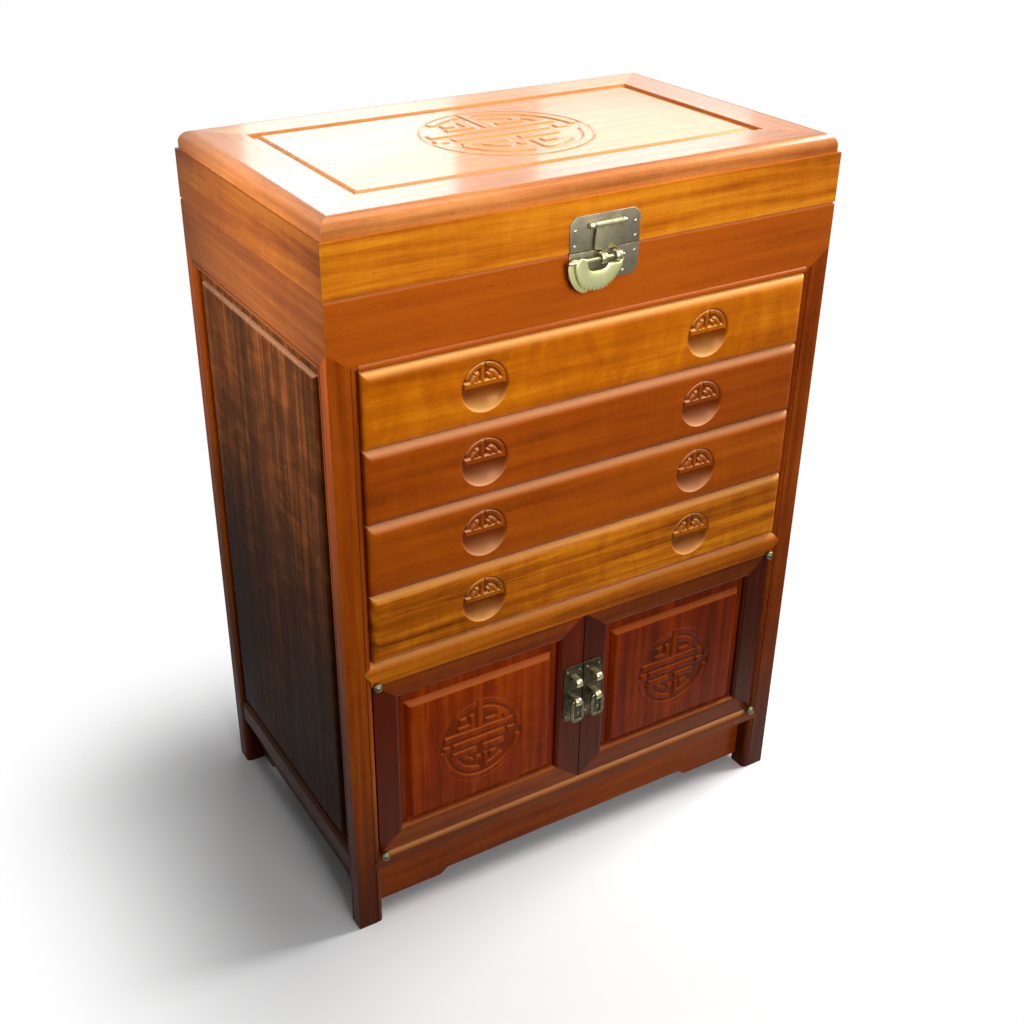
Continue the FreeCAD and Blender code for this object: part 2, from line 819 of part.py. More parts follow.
def lid_panel():
    """The raised panel in the lid's top, with its round medallion."""
    inset = S["ledge_inset"] + S["top_frame_width"]
    half_width = HALF_WIDTH - inset
    half_depth = HALF_DEPTH - inset
    board, field = raised_panel(half_width, -half_depth, half_depth, S["lid_moat_width"],
                                S["lid_bevel"], S["lid_moat_depth"], S["lid_field_depth"])
    panel = medallion(join(board, field), ZERO, half_depth * 2 * S["lid_medallion_share"],
                      S["lid_medallion_ring"], S["lid_field_depth"])
    place(panel, (ZERO, MIDDLE, S["case_height"]), axis=(1, 0, 0), turn=-90)
    keep("lid_panel", panel)


def lid_hinge_parts():
    """Two butt hinges behind the seam: lower leaves with pins, and upper leaves."""
    knuckle = S["lid_hinge_knuckle"]
    gap = S["lid_hinge_gap"]
    axis_y = BACK + knuckle + gap
    width = S["lid_hinge_width"]
    third = width / 3
    level = SEAM
    lower = []
    upper = []
    for hand in (-1, 1):
        left = S["lid_hinge_offset"] * hand - width / 2
        right = left + width
        leaf = box((left, BACK, level - knuckle - gap - S["lid_hinge_leaf_height"]),
                   (right, BACK + S["lid_hinge_leaf"], level - knuckle - gap))
        neck = box((left + third + gap, BACK, level - knuckle - gap),
                   (right - third - gap, BACK + S["lid_hinge_leaf"], level))
        barrel = rod((left + third + gap, axis_y, level), "x", knuckle, third - gap * 2)
        pin = rod((left, axis_y, level), "x", S["lid_hinge_pin"], width)
        lower.append(join(leaf, neck, barrel, pin))
        high_leaf = box((left, BACK, level + knuckle + gap),
                        (right, BACK + S["lid_hinge_leaf"],
                         level + knuckle + gap + S["lid_hinge_leaf_height"]))
        pieces = [high_leaf]
        for start in (left, right - third):
            pieces.append(box((start, BACK, level),
                              (start + third, BACK + S["lid_hinge_leaf"],
                               level + knuckle + gap)))
            pieces.append(rod((start, axis_y, level), "x", knuckle, third))
        bore = rod((left - S["overrun"], axis_y, level), "x",
                   S["lid_hinge_pin"] + S["pin_fit"], width + S["overrun"] * 2)
        upper.append(cut(join(*pieces), bore))
    keep("lid_hinge_lower_leaves", group(*lower))
    keep("lid_hinge_upper_leaves", group(*upper))


def canted_plate(low, high, cant_low, cant_high):
    """A thin plate on the front whose chosen corners are cut off."""
    half = S["plate_half_width"]
    cant = S["plate_cant"]
    corners = []
    corners += [(cant - half, low), (half - cant, low), (half, low + cant)] if cant_low else [
        (-half, low), (half, low)]
    corners += [(half, high - cant), (half - cant, high), (cant - half, high),
                (-half, high - cant)] if cant_high else [(half, high), (-half, high)]
    if cant_low:
        corners.append((-half, low + cant))
    body = new_body()
    pad(body, "XZ_Plane", corners, S["plate_thick"])
    place(body, (ZERO, FRONT - S["plate_thick"], ZERO))
    return body


def staple(centre_x, level, width, face):
    """A loop that stands out from a plate, with its eye along X."""
    centre_y = face - S["staple_reach"]
    start = centre_x - width / 2
    eye = rod((start, centre_y, level), "x", S["staple_radius"], width)
    stem = box((start, centre_y, level - S["staple_radius"] / 2),
               (start + width, face, level + S["staple_radius"] / 2))
    hole = rod((start - S["overrun"], centre_y, level), "x", S["staple_hole"],
               width + S["overrun"] * 2)
    return join(eye, stem), hole


def plate_with_staples(plate, staples):
    """Join a plate and its staples, and open their eyes."""
    solids = [item[0] for item in staples]
    holes = [item[1] for item in staples]
    return cut(join(plate, *solids), group(*holes))


def lid_lock():
    """The two lock plates, the hasp and its pin."""
    lower_plate = canted_plate(SEAM - S["plate_drop"], SEAM - S["plate_split"],
                               True, False)
    face = FRONT - S["plate_thick"]
    staples = [staple(S["staple_spacing"] / 2 * hand, SEAM - S["staple_drop"], S["staple_width"], face)
               for hand in (-1, 1)]
    keep("body_lock_plate", plate_with_staples(lower_plate, staples))
    upper_plate = canted_plate(SEAM + S["plate_split"], SEAM + S["plate_rise"],
                               False, True)
    axis_y = FRONT - S["hasp_reach"]
    level = SEAM + S["hasp_rise"]
    knuckle = S["hasp_knuckle"]
    reach = S["hasp_half_width"] + S["hasp_side_gap"]
    ears = []
    for hand in (-1, 1):
        start = reach if hand > 0 else -reach - S["hasp_ear"]
        ears.append(rod((start, axis_y, level), "x", knuckle, S["hasp_ear"]))
        ears.append(box((start, axis_y, level - knuckle),
                        (start + S["hasp_ear"], face, level + knuckle)))
        ears.append(ball(((reach + S["hasp_ear"]) * hand, axis_y, level), S["hasp_knob"]))
    pin = rod((-reach, axis_y, level), "x", S["hasp_pin"], reach * 2)
    keep("lid_lock_plate", join(upper_plate, *ears, pin))
    half = S["hasp_half_width"]
    barrel = rod((-half, axis_y, level), "x", knuckle, half * 2)
    strap = box((-half, axis_y - S["hasp_strap_thick"] / 2, SEAM + S["hasp_strap_lift"]),
                (half, axis_y + S["hasp_strap_thick"] / 2, level))
    bore = rod((-half - S["overrun"], axis_y, level), "x", S["hasp_pin"] + S["pin_fit"],
               (half + S["overrun"]) * 2)
    keep("hasp", cut(join(barrel, strap), bore))


def padlock():
    """The fish-shaped padlock that hangs on its bar, and the bar through the staples."""
    axis_y = FRONT - S["plate_thick"] - S["staple_reach"]
    left = S["lock_left"]
    right = S["lock_right"]
    lobe_inner = S["lock_lobe"] * 2 - left
    horn_inner = right - S["lock_horn"]
    top = SEAM - S["lock_top_drop"]
    shoulder = SEAM - S["staple_drop"]
    body = new_body()
    lobe_level = top - S["lock_lobe"]
    corners = [
        (-left, lobe_level, S["lock_belly_round"], "left"),
        (S["lock_horn"] - left / 2, SEAM - S["lock_belly_drop"], S["lock_belly_round"], "left"),
        (right, shoulder),
        (right, top),
        (horn_inner, top),
        (horn_inner, lobe_level, S["lock_cradle_round"], "right"),
        (lobe_inner, lobe_level, S["lock_lobe"], "left"),
        (S["lock_lobe"] - left, top, S["lock_lobe"], "left"),
    ]
    pad(body, "XZ_Plane", corners, S["lock_thick"])
    place(body, (ZERO, axis_y - S["lock_thick"] / 2, ZERO))
    tail = S["lock_bar_tail"]
    bore = rod((-left - S["overrun"], axis_y, shoulder), "x", S["lock_bar"] + S["pin_fit"],
               left + right + S["overrun"] * 2)
    keep("padlock_body", cut(body, bore))
    bar = rod((-left - tail, axis_y, shoulder), "x", S["lock_bar"], left + tail + right)
    knob = ball((-left - tail, axis_y, shoulder), S["hasp_knuckle"])
    keep("padlock_bar", join(bar, knob))


def door_frame_members(outer, inner, low, high, meeting):
    """The two stiles and two rails of a door, mitred together, rounded at the panel."""
    bottom = low + S["door_rail"]
    top = high - S["door_rail"]
    outlines = {
        "outer": [(outer, low), (inner[0], bottom), (inner[0], top), (outer, high)],
        "meeting": [(meeting, low), (meeting, high), (inner[1], top), (inner[1], bottom)],
        "base": [(outer, low), (meeting, low), (inner[1], bottom), (inner[0], bottom)],
        "head": [(outer, high), (inner[0], top), (inner[1], top), (meeting, high)],
    }
    edges = {"outer": {"x": inner[0]}, "meeting": {"x": inner[1]},
             "base": {"z": bottom}, "head": {"z": top}}
    face = FRONT + S["door_face_depth"]
    members = []
    for name, corners in outlines.items():
        body = pad(new_body(), "XZ_Plane", corners, S["door_thick"])
        place(body, (ZERO, face, ZERO))
        soften(body, "Fillet", S["frame_round"], y=face, **edges[name])
        if name == "meeting":
            soften(body, "Chamfer", S["door_back_chamfer"], y=face + S["door_thick"], x=meeting)
        members.append(body)
    return members


def half_ball(centre, above):
    """The half of a pivot ball above or below its split."""
    radius = S["pivot_ball"]
    across, along, level = centre
    whole = ball(centre, radius)
    low = (across - radius, along - radius, level if above else level - radius)
    high = (across + radius, along + radius, level + radius if above else level)
    return common(whole, box(low, high))


def pivot_hinge(hand, level, door_above):
    """One ball pivot: the case's half with its pin, the door's half with its leaf, the bore."""
    across = (POST_INNER - S["door_side_gap"] - S["pivot_inset"]) * hand
    along = FRONT - S["pivot_reach"]
    split = S["pivot_split"]
    case_level = level - split if door_above else level + split
    pin_start = case_level if door_above else case_level - S["pivot_pin_length"]
    pin = rod((across, along, pin_start), "z", S["pivot_pin"], S["pivot_pin_length"])
    case_half = join(half_ball((across, along, case_level), not door_above), pin)
    leaf_low = level if door_above else level - S["pivot_leaf"]
    leaf = box((across - S["pivot_leaf_width"] / 2, along, leaf_low),
               (across + S["pivot_leaf_width"] / 2, FRONT + S["pivot_leaf_depth"],
                leaf_low + S["pivot_leaf"]))
    door_edge = (POST_INNER - S["door_side_gap"]) * hand
    trim = box((door_edge - S["pivot_leaf_width"] * (1 - hand) / 2, along - S["overrun"],
                leaf_low - S["overrun"]),
               (door_edge + S["pivot_leaf_width"] * (1 + hand) / 2,
                FRONT + S["pivot_leaf_depth"] + S["overrun"],
                leaf_low + S["pivot_leaf"] + S["overrun"]))
    bore = rod((across, along, level - S["pivot_pin_length"] if not door_above else level),
               "z", S["pivot_pin"] + S["pin_fit"], S["pivot_pin_length"])
    leaf = cut(leaf, trim)
    door_half = cut(join(half_ball((across, along, level), door_above), leaf), bore)
    return case_half, door_half, leaf


def door(side, hand, case_rails):
    """One door with its panel, pivots, half plate, staples and drop pull."""
    gap = S["door_level_gap"]
    low = DOORS_BASE + gap
    high = DOORS_TOP - gap
    outer = (POST_INNER - S["door_side_gap"]) * hand
    meeting = S["door_meeting_gap"] * hand
    inner = ((POST_INNER - S["door_side_gap"] - S["outer_stile"]) * hand,
             (S["door_meeting_gap"] + S["meeting_stile"]) * hand)
    upper = pivot_hinge(hand, high, False)
    lower = pivot_hinge(hand, low, True)
    members = door_frame_members(outer, inner, low, high, meeting)
    leaves = group(upper[2], lower[2])
    keep(side + "_door_frame", group(*[cut(member, leaves) for member in members]))
    half_width = (inner[0] - inner[1]) * hand / 2
    centre = (inner[0] + inner[1]) / 2
    bottom = low + S["door_rail"]
    top = high - S["door_rail"]
    board, field = raised_panel(half_width, bottom, top, S["door_moat_width"],
                                S["door_bevel"], S["door_moat_depth"], ZERO)
    panel = medallion(join(board, field), (bottom + top) / 2,
                      (top - bottom) * S["medallion_share"], S["medallion_ring"], ZERO)
    place(panel, (centre, FRONT + S["door_face_depth"], ZERO))
    keep(side + "_door_panel", panel)
    keep(side + "_door_pivots", group(upper[1], lower[1]))
    keep(side + "_case_pivots", cut(group(upper[0], lower[0]), case_rails))
    door_fitting(side, hand, meeting)


def door_fitting(side, hand, meeting):
    """A half plate with two staples, and the drop pull that hangs in the lower one."""
    face = FRONT + S["door_face_depth"]
    edge = meeting + S["door_plate_width"] * hand
    middle = (DOORS_BASE + DOORS_TOP) / 2 + S["door_plate_lift"]
    low = middle - S["door_plate_height"] / 2
    high = middle + S["door_plate_height"] / 2
    plate = pad(new_body(), "XZ_Plane", [(meeting, low), (edge, low), (edge, high),
                                         (meeting, high)], S["plate_thick"])
    place(plate, (ZERO, face - S["plate_thick"], ZERO))
    soften(plate, "Fillet", S["door_plate_round"], x=edge, z=low)
    soften(plate, "Fillet", S["door_plate_round"], x=edge, z=high)
    offset = S["door_staple_offset"] * hand
    surface = face - S["plate_thick"]
    eye = middle - S["door_staple_drop"]
    staples = [staple(offset, level, S["door_staple_width"], surface)
               for level in (middle + S["door_staple_rise"], eye)]
    keep(side + "_door_plate", plate_with_staples(plate, staples))
    keep(side + "_drop_pull", drop_pull(offset, surface - S["staple_reach"], eye))


def drop_pull(centre_x, along, top):
    """A round-cornered ring of wire that hangs in a staple."""
    wire = S["pull_wire"]
    half = S["pull_ring_width"] / 2 - wire
    base = top - S["pull_ring_height"] + wire * 2
    pieces = []
    for level in (top, base):
        pieces.append(rod((centre_x - half, along, level), "x", wire, half * 2))
        for across in (centre_x - half, centre_x + half):
            pieces.append(ball((across, along, level), wire))
    for across in (centre_x - half, centre_x + half):
        pieces.append(rod((across, along, base), "z", wire, top - base))
    return join(*pieces)


def build():
    """Make every sub-part of the cabinet."""
    rails = top_rails()
    rails += [mid_rail(), front_bottom_rail()]
    rails_whole = join(*rails)
    well_space = box((-RAIL_INNER, FRONT + S["rail_thick"], DRAWERS_TOP),
                     (RAIL_INNER, BACK - S["rail_thick"], POST_TOP + S["overrun"]))
    post_tools = group(rails_whole, well_space, *rail_quirks())
    posts = [corner_post(end_name + "_" + side_name + "_post", side, end, post_tools)
             for end_name, end in (("front", -1), ("rear", 1))
             for side_name, side in (("left", -1), ("right", 1))]
    side_bottom_rail("left_bottom_rail", -1)
    side_bottom_rail("right_bottom_rail", 1)
    rear_bottom_rail()
    aprons()
    side_panel("left_side_panel", -1)
    side_panel("right_side_panel", 1)
    back_panel()
    inner_boards(group(*posts))
    drawer_runners()
    for number in range(int(SIZES["drawer_count"])):
        drawer(number)
    lid_boards()
    top_frame()
    lid_panel()
    lid_hinge_parts()
    lid_lock()
    padlock()
    door("left", -1, rails_whole)
    door("right", 1, rails_whole)


def check():
    """Stop if any object failed or any sub-part is empty or not valid."""
    for item in DOC.Objects:
        if "Invalid" in item.State or "Error" in item.State:
            raise RuntimeError("failed: " + item.Label + " " + item.Name + str(item.State))
    for node in NODES:
        if node.Shape.isNull() or not node.Shape.isValid() or not node.Shape.Solids:
            raise RuntimeError("not a valid solid: " + node.Label)


def write_nodes():
    """Write each sub-part to its own file and print what was made."""
    os.makedirs("parts", exist_ok=True)
    for node in NODES:
        node.Shape.exportStep(os.path.join("parts", node.Label + ".step"))
        bounds = node.Shape.BoundBox
        print(node.Label, len(node.Shape.Solids), "solids",
              [round(value, 2) for value in (bounds.XMin, bounds.YMin, bounds.ZMin,
                                             bounds.XMax, bounds.YMax, bounds.ZMax)])


build()
DOC.recompute()
check()
write_nodes()
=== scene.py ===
"""Looks for the storage cabinet: lacquered rosewood, carved work and aged brass on the fixed frame.

Metres throughout, in the frame's own axes: +X to the cabinet's right, +Y to its back, +Z up.
"""

from __future__ import annotations

import logging
import math
from dataclasses import dataclass, replace
from enum import Enum
from typing import Iterable, Sequence

import bmesh
import bpy
import numpy as np
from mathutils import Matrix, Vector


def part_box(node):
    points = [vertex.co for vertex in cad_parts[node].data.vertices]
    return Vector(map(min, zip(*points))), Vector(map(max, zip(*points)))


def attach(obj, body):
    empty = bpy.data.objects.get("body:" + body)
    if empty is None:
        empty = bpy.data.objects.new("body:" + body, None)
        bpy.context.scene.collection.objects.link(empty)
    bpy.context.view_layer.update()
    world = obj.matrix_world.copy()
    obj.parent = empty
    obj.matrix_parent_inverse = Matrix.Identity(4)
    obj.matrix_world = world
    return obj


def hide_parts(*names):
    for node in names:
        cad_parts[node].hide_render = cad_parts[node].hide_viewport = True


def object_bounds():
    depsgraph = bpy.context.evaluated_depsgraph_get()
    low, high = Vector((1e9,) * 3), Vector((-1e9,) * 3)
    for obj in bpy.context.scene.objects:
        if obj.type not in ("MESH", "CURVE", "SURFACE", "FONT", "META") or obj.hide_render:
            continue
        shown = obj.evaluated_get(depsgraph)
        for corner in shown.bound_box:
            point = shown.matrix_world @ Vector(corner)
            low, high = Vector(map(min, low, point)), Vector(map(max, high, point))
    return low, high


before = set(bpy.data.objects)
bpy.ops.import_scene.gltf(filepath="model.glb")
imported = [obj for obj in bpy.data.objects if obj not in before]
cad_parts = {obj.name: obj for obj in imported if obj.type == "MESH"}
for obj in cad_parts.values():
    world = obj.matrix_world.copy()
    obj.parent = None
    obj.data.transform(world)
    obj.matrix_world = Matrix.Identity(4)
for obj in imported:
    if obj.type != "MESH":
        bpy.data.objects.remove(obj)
CAD_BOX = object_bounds()

LOG = logging.getLogger("cabinet")
MM = 0.001
QUARTER = math.pi / 2
Array = np.ndarray
Shape = tuple[Array, Array, list[Array]]
Tree = bpy.types.NodeTree
Socket = bpy.types.NodeSocket


class Grain(Enum):
    """The axis of the board that its fibres run along."""

    ALONG_X = 0
    ALONG_Y = 1
    ALONG_Z = 2


class Facing(Enum):
    """The way that a carved face looks: the axis it looks along, and the sign of its depth."""

    FRONT = (1, 1)
    TOP = (2, -1)
    LEFT = (0, 1)
    RIGHT = (0, -1)


class Rise(Enum):
    """How a raised panel climbs from its moat to its field."""

    HOLLOW_BEVEL = "a hollow bevel that eases into the field"
    QUARTER_ROUND = "a quarter round"


def low_high(name: str) -> tuple[Array, Array]:
    """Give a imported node's lowest and highest corners in metres."""
    low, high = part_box(name)
    return np.array(low), np.array(high)


def srgb(hex_colour: str) -> tuple[float, float, float, float]:
    """Turn an sRGB hex colour to linear RGBA.

    Args:
        hex_colour: Six digits, such as "B8690C".

    Returns:
        Linear red, green, blue and an alpha of one.
    """
    parts = [int(hex_colour[i:i + 2], 16) / 255 for i in (0, 2, 4)]
    linear = [p / 12.92 if p <= 0.04045 else ((p + 0.055) / 1.055) ** 2.4 for p in parts]
    return (linear[0], linear[1], linear[2], 1.0)


def node(tree: Tree, kind: str, values: dict | None = None, output: int | str = 0) -> Socket:
    """Add a shader node and give one of its outputs.

    Args:
        tree: Node tree that takes the node.
        kind: Blender's node type name without the ShaderNode prefix.
        values: Attribute or socket name (or index) to its value, or to the output that feeds it.
        output: Name or index of the output to give.

    Returns:
        The output.
    """
    made = tree.nodes.new("ShaderNode" + kind)
    for name, value in (values or {}).items():
        if isinstance(value, Socket):
            tree.links.new(value, made.inputs[name])
        elif isinstance(name, str) and hasattr(made, name):
            setattr(made, name, value)
        else:
            made.inputs[name].default_value = value
    return made.outputs[output]


def place_of(tree: Tree, axis: str = "") -> Socket:
    """Give the object coordinates, or one axis of them."""
    place = node(tree, "TexCoord", output="Object")
    return node(tree, "SeparateXYZ", {0: place}, axis) if axis else place


def calculate(tree: Tree, operation: str, *terms: Socket | float) -> Socket:
    """Add a math node with its terms in order."""
    return node(tree, "Math", {"operation": operation, **dict(enumerate(terms))})


def map_range(tree: Tree, value: Socket, given: tuple[float, float],
              wanted: tuple[float, float] = (0.0, 1.0), smooth: bool = False) -> Socket:
    """Map one range of a value to another and hold it at the ends.

    Args:
        tree: Node tree.
        value: The value.
        given: Range of the value.
        wanted: What the given range turns into.
        smooth: Whether it is a smooth step.

    Returns:
        The mapped value.
    """
    style = "SMOOTHSTEP" if smooth else "LINEAR"
    return node(tree, "MapRange", {"interpolation_type": style, "Value": value,
                                   "From Min": given[0], "From Max": given[1],
                                   "To Min": wanted[0], "To Max": wanted[1]})


def blend(tree: Tree, share: Socket, first: Socket, second: Socket | str,
          style: str = "MIX") -> Socket:
    """Lay a second colour over a first.

    Args:
        tree: Node tree.
        share: How much of the second shows.
        first: Lower colour.
        second: Upper colour, an output or six hex digits.
        style: Blender's name of the blend.

    Returns:
        The blended colour.
    """
    upper = second if isinstance(second, Socket) else srgb(second)
    return node(tree, "MixRGB", {"blend_type": style, "Fac": share, "Color1": first,
                                 "Color2": upper})


def noise(tree: Tree, place: Socket, grain: Grain, across: float, along: float,
          detail: float, rough: float, distortion: float = 0.0) -> Socket:
    """Draw noise that is stretched along the grain.

    Args:
        tree: Node tree.
        place: Coordinates.
        grain: The axis that the fibres run along.
        across: Size of the figure across the grain in millimetres.
        along: Size along the grain in millimetres.
        detail: Number of finer layers.
        rough: Strength of the finer layers.
        distortion: How far the figure is warped.

    Returns:
        The noise, from zero to one.
    """
    scale = [1.0 / (across * MM)] * 3
    scale[grain.value] = 1.0 / (along * MM)
    scaled = node(tree, "Mapping", {"Scale": tuple(scale), "Vector": place})
    return node(tree, "TexNoise", {"Scale": 1.0, "Detail": detail, "Roughness": rough,
                                   "Distortion": distortion, "Vector": scaled})


def ramp(tree: Tree, value: Socket, stops: Sequence[tuple[float, str]]) -> Socket:
    """Map a value through colour stops.

    Args:
        tree: Node tree.
        value: The value.
        stops: Pairs of place and hex colour, in rising order.

    Returns:
        The colour.
    """
    colour = node(tree, "ValToRGB", {0: value})
    line = colour.node.color_ramp
    while len(line.elements) < len(stops):
        line.elements.new(0.5)
    for element, (place, shade) in zip(line.elements, stops):
        element.position = place
        element.color = srgb(shade)
    return colour


def empty_material(name: str) -> tuple[bpy.types.Material, Tree]:
    """Start a material whose node tree is empty.

    Args:
        name: Name of the material.

    Returns:
        The material and its tree.
    """
    material = bpy.data.materials.new(name)
    material.use_nodes = True
    material.node_tree.nodes.clear()
    return material, material.node_tree


def end_tree(tree: Tree, shader: Socket, kind: str = "OutputMaterial") -> None:
    """Link a shader to a new output node."""
    output = tree.nodes.new("ShaderNode" + kind)
    tree.links.new(shader, output.inputs["Surface"])


@dataclass(frozen=True)
class LacqueredRosewood:
    """Rosewood planed, oiled and rubbed with clear lacquer: warm streaks under a soft gloss.

    The fibres are drawn as long stretched noise along the board, the ribbon figure of
    interlocked grain as slow cross bands, and the vessels as short dark dashes.
    """

    name: str
    pale: str
    middle: str
    dark: str
    grain: Grain
    seed: float = 0.0
    streak_mm: float = 9.0
    fibre_mm: float = 0.9
    ribbon: float = 0.35
    contrast: float = 1.0
    roughness: float = 0.3
    specular: float = 0.22
    reflection: str = "FFA860"
    coat: float = 0.03
    coat_roughness: float = 0.12
    coat_ior: float = 1.5
    # Painted shade, with some dirt: a darker colour laid on carved ground by its depth.
    sunk_dark: str = ""
    carved_shade_range: tuple[float, float] = (0.3 * MM, 2.2 * MM)
    # Painted highlight: a paler colour laid on edges by how far they face upward.
    rubbed: str = ""
    rubbed_range: tuple[float, float] = (0.1, 0.85)
    # Grime and painted shade: the wood darkens by a smooth step toward the floor.
    foot_grime: float = 0.0
    grime_and_shade_top: float = 240.0 * MM
    streak_stretch: float = 26.0
    fibre_stretch: float = 55.0
    cloud_mm: tuple[float, float] = (110.0, 190.0)
    ribbon_mm: tuple[float, float] = (52.0, 22.0)
    vessel_mm: tuple[float, float] = (0.55, 7.5)
    streak_share: float = 0.62
    fibre_share: float = 0.2
    cloud_share: float = 0.25
    ribbon_share: float = 0.34
    stops: tuple[float, float, float] = (0.32, 0.5, 0.68)
    vessel_range: tuple[float, float] = (0.6, 0.74)
    vessel_stain: str = "D4B09C"
    vessel_depth: float = 0.6
    # Stain of the grime and painted shade near the floor, and the most of the painted shade and
    # painted highlight.
    grime_and_shade_stain: str = "5A3420"
    carved_shade_most: float = 0.75
    rubbed_most: float = 0.85
    relief_strength: float = 0.08
    relief_height: float = 0.4 * MM
    gloss_range: tuple[float, float] = (0.3, 0.7)
    gloss_change: tuple[float, float] = (-0.05, 0.08)

    def figure(self, tree: Tree, grain: Grain) -> tuple[Socket, Socket, Socket]:
        """Draw the wood's figure along one axis.

        Args:
            tree: Node tree.
            grain: The axis that the fibres run along.

        Returns:
            Outputs for the colour, the fine relief and the slow cloud.
        """
        offset = (self.seed * 0.37, self.seed * 0.53, self.seed * 0.71)
        place = node(tree, "Mapping", {"Location": offset, "Vector": place_of(tree)})
        streaks = noise(tree, place, grain, self.streak_mm, self.streak_mm * self.streak_stretch,
                        detail=4.0, rough=0.55, distortion=0.35)
        fibres = noise(tree, place, grain, self.fibre_mm, self.fibre_mm * self.fibre_stretch,
                       detail=3.0, rough=0.6)
        cloud = noise(tree, place, grain, *self.cloud_mm, detail=2.0, rough=0.5)
        ribbons = noise(tree, place, grain, *self.ribbon_mm, detail=2.0, rough=0.5,
                        distortion=1.2)
        vessels = noise(tree, place, grain, *self.vessel_mm, detail=2.0, rough=0.5)
        parts = ((streaks, self.streak_share), (fibres, self.fibre_share),
                 (cloud, self.cloud_share), (ribbons, self.ribbon_share * self.ribbon))
        mixed: Socket | float = 0.5 - 0.5 * sum(share for _, share in parts) * self.contrast
        for part, share in parts:
            mixed = calculate(tree, "MULTIPLY_ADD", part, share * self.contrast, mixed)
        colour = ramp(tree, mixed, list(zip(self.stops, (self.dark, self.middle, self.pale))))
        dashes = map_range(tree, vessels, self.vessel_range)
        colour = blend(tree, dashes, colour, self.vessel_stain, "MULTIPLY")
        relief = calculate(tree, "MULTIPLY_ADD", dashes, -self.vessel_depth, fibres)
        return colour, relief, cloud

    def make(self) -> bpy.types.Material:
        """Build the material."""
        material, tree = empty_material(self.name)
        self.close(tree, *self.figure(tree, self.grain))
        return material

    def close(self, tree: Tree, colour: Socket, relief: Socket, cloud: Socket) -> None:
        """Lay the lacquer over a colour, with painted shade, grime and a painted highlight.

        Carved ground is darkened by the piece's own depth attribute: painted shade, with some
        dirt. The wood darkens by a smooth step down to the floor: grime and painted shade. Edges
        that face upward are painted paler, by a smooth step of how far the surface looks up: a
        painted highlight.

        Args:
            tree: Node tree.
            colour: Colour of the wood.
            relief: Fine relief of fibres and vessels.
            cloud: Slow noise that varies the rubbing of the lacquer.
        """
        # Painted shade and dirt: carved ground turns darker with its depth.
        if self.sunk_dark:
            depth = node(tree, "Attribute", {"attribute_name": "sunk"}, "Fac")
            shade = map_range(tree, depth, self.carved_shade_range, (0.0, self.carved_shade_most))
            colour = blend(tree, shade, colour, self.sunk_dark)
        # Grime and painted shade: the colour darkens toward the floor.
        if self.foot_grime:
            grime = map_range(tree, place_of(tree, "Z"), (0.0, self.grime_and_shade_top),
                              (self.foot_grime, 0.0), True)
            colour = blend(tree, grime, colour, self.grime_and_shade_stain, "MULTIPLY")
        # Painted highlight: surfaces that face upward turn toward a paler colour.
        if self.rubbed:
            normal = node(tree, "NewGeometry", output="Normal")
            upward = node(tree, "SeparateXYZ", {0: normal}, "Z")
            highlight_share = map_range(tree, upward, self.rubbed_range, (0.0, self.rubbed_most), True)
            colour = blend(tree, highlight_share, colour, self.rubbed)
        bump = node(tree, "Bump", {"Strength": self.relief_strength,
                                   "Distance": self.relief_height, "Height": relief})
        least, most = (self.roughness + change for change in self.gloss_change)
        gloss = map_range(tree, cloud, self.gloss_range, (least, most))
        end_tree(tree, node(tree, "BsdfPrincipled", {
            "Specular IOR Level": self.specular, "Specular Tint": srgb(self.reflection),
            "Coat Weight": self.coat, "Coat Roughness": self.coat_roughness,
            "Coat IOR": self.coat_ior, "Base Color": colour, "Roughness": gloss,
            "Normal": bump}))


@dataclass(frozen=True)
class MitredRosewood(LacqueredRosewood):
    """Rosewood of a mitred door frame: upright stiles and lighter rails with level grain."""

    rail_pale: str = "9C4A12"
    rail_middle: str = "853B10"
    rail_dark: str = "5E260A"
    outer_mm: float = 250.5
    inner_mm: float = 0.6
    low_mm: float = 94.7
    high_mm: float = 314.9
    outer_stile_mm: float = 28.5
    meeting_stile_mm: float = 31.0
    rail_mm: float = 25.0

    def make(self) -> bpy.types.Material:
        """Build the material from a figure for the stiles and one for the rails.

        A point belongs to a stile where its distance from the upright edge, as a share of the
        stile's width, is less than its distance from the level edge as a share of the rail's.

        Returns:
            The finished material.
        """
        material, tree = empty_material(self.name)
        stiles, relief, cloud = self.figure(tree, Grain.ALONG_Z)
        rails = LacqueredRosewood(self.name + "_rail", self.rail_pale, self.rail_middle,
                                  self.rail_dark, Grain.ALONG_X, self.seed + 1.3)
        levels, rail_relief, _ = rails.figure(tree, Grain.ALONG_X)

        def nearer(value: Socket, *edges: tuple[float, float]) -> Socket:
            """Give the lesser distance from two edges, as a share of each member's width.

            Args:
                value: The coordinate.
                *edges: Place of each edge and the width inward from it, in millimetres.

            Returns:
                The lesser share.
            """
            shares = [node(tree, "MapRange", {"clamp": False, "From Min": edge * MM,
                                              "From Max": (edge + width) * MM, "Value": value})
                      for edge, width in edges]
            return calculate(tree, "MINIMUM", *shares)

        upright = nearer(calculate(tree, "ABSOLUTE", place_of(tree, "X")),
                         (self.outer_mm, -self.outer_stile_mm),
                         (self.inner_mm, self.meeting_stile_mm))
        level = nearer(place_of(tree, "Z"), (self.high_mm, -self.rail_mm),
                       (self.low_mm, self.rail_mm))
        is_rail = calculate(tree, "GREATER_THAN", upright, level)
        self.close(tree, blend(tree, is_rail, stiles, levels),
                   blend(tree, is_rail, relief, rail_relief), cloud)
        return material


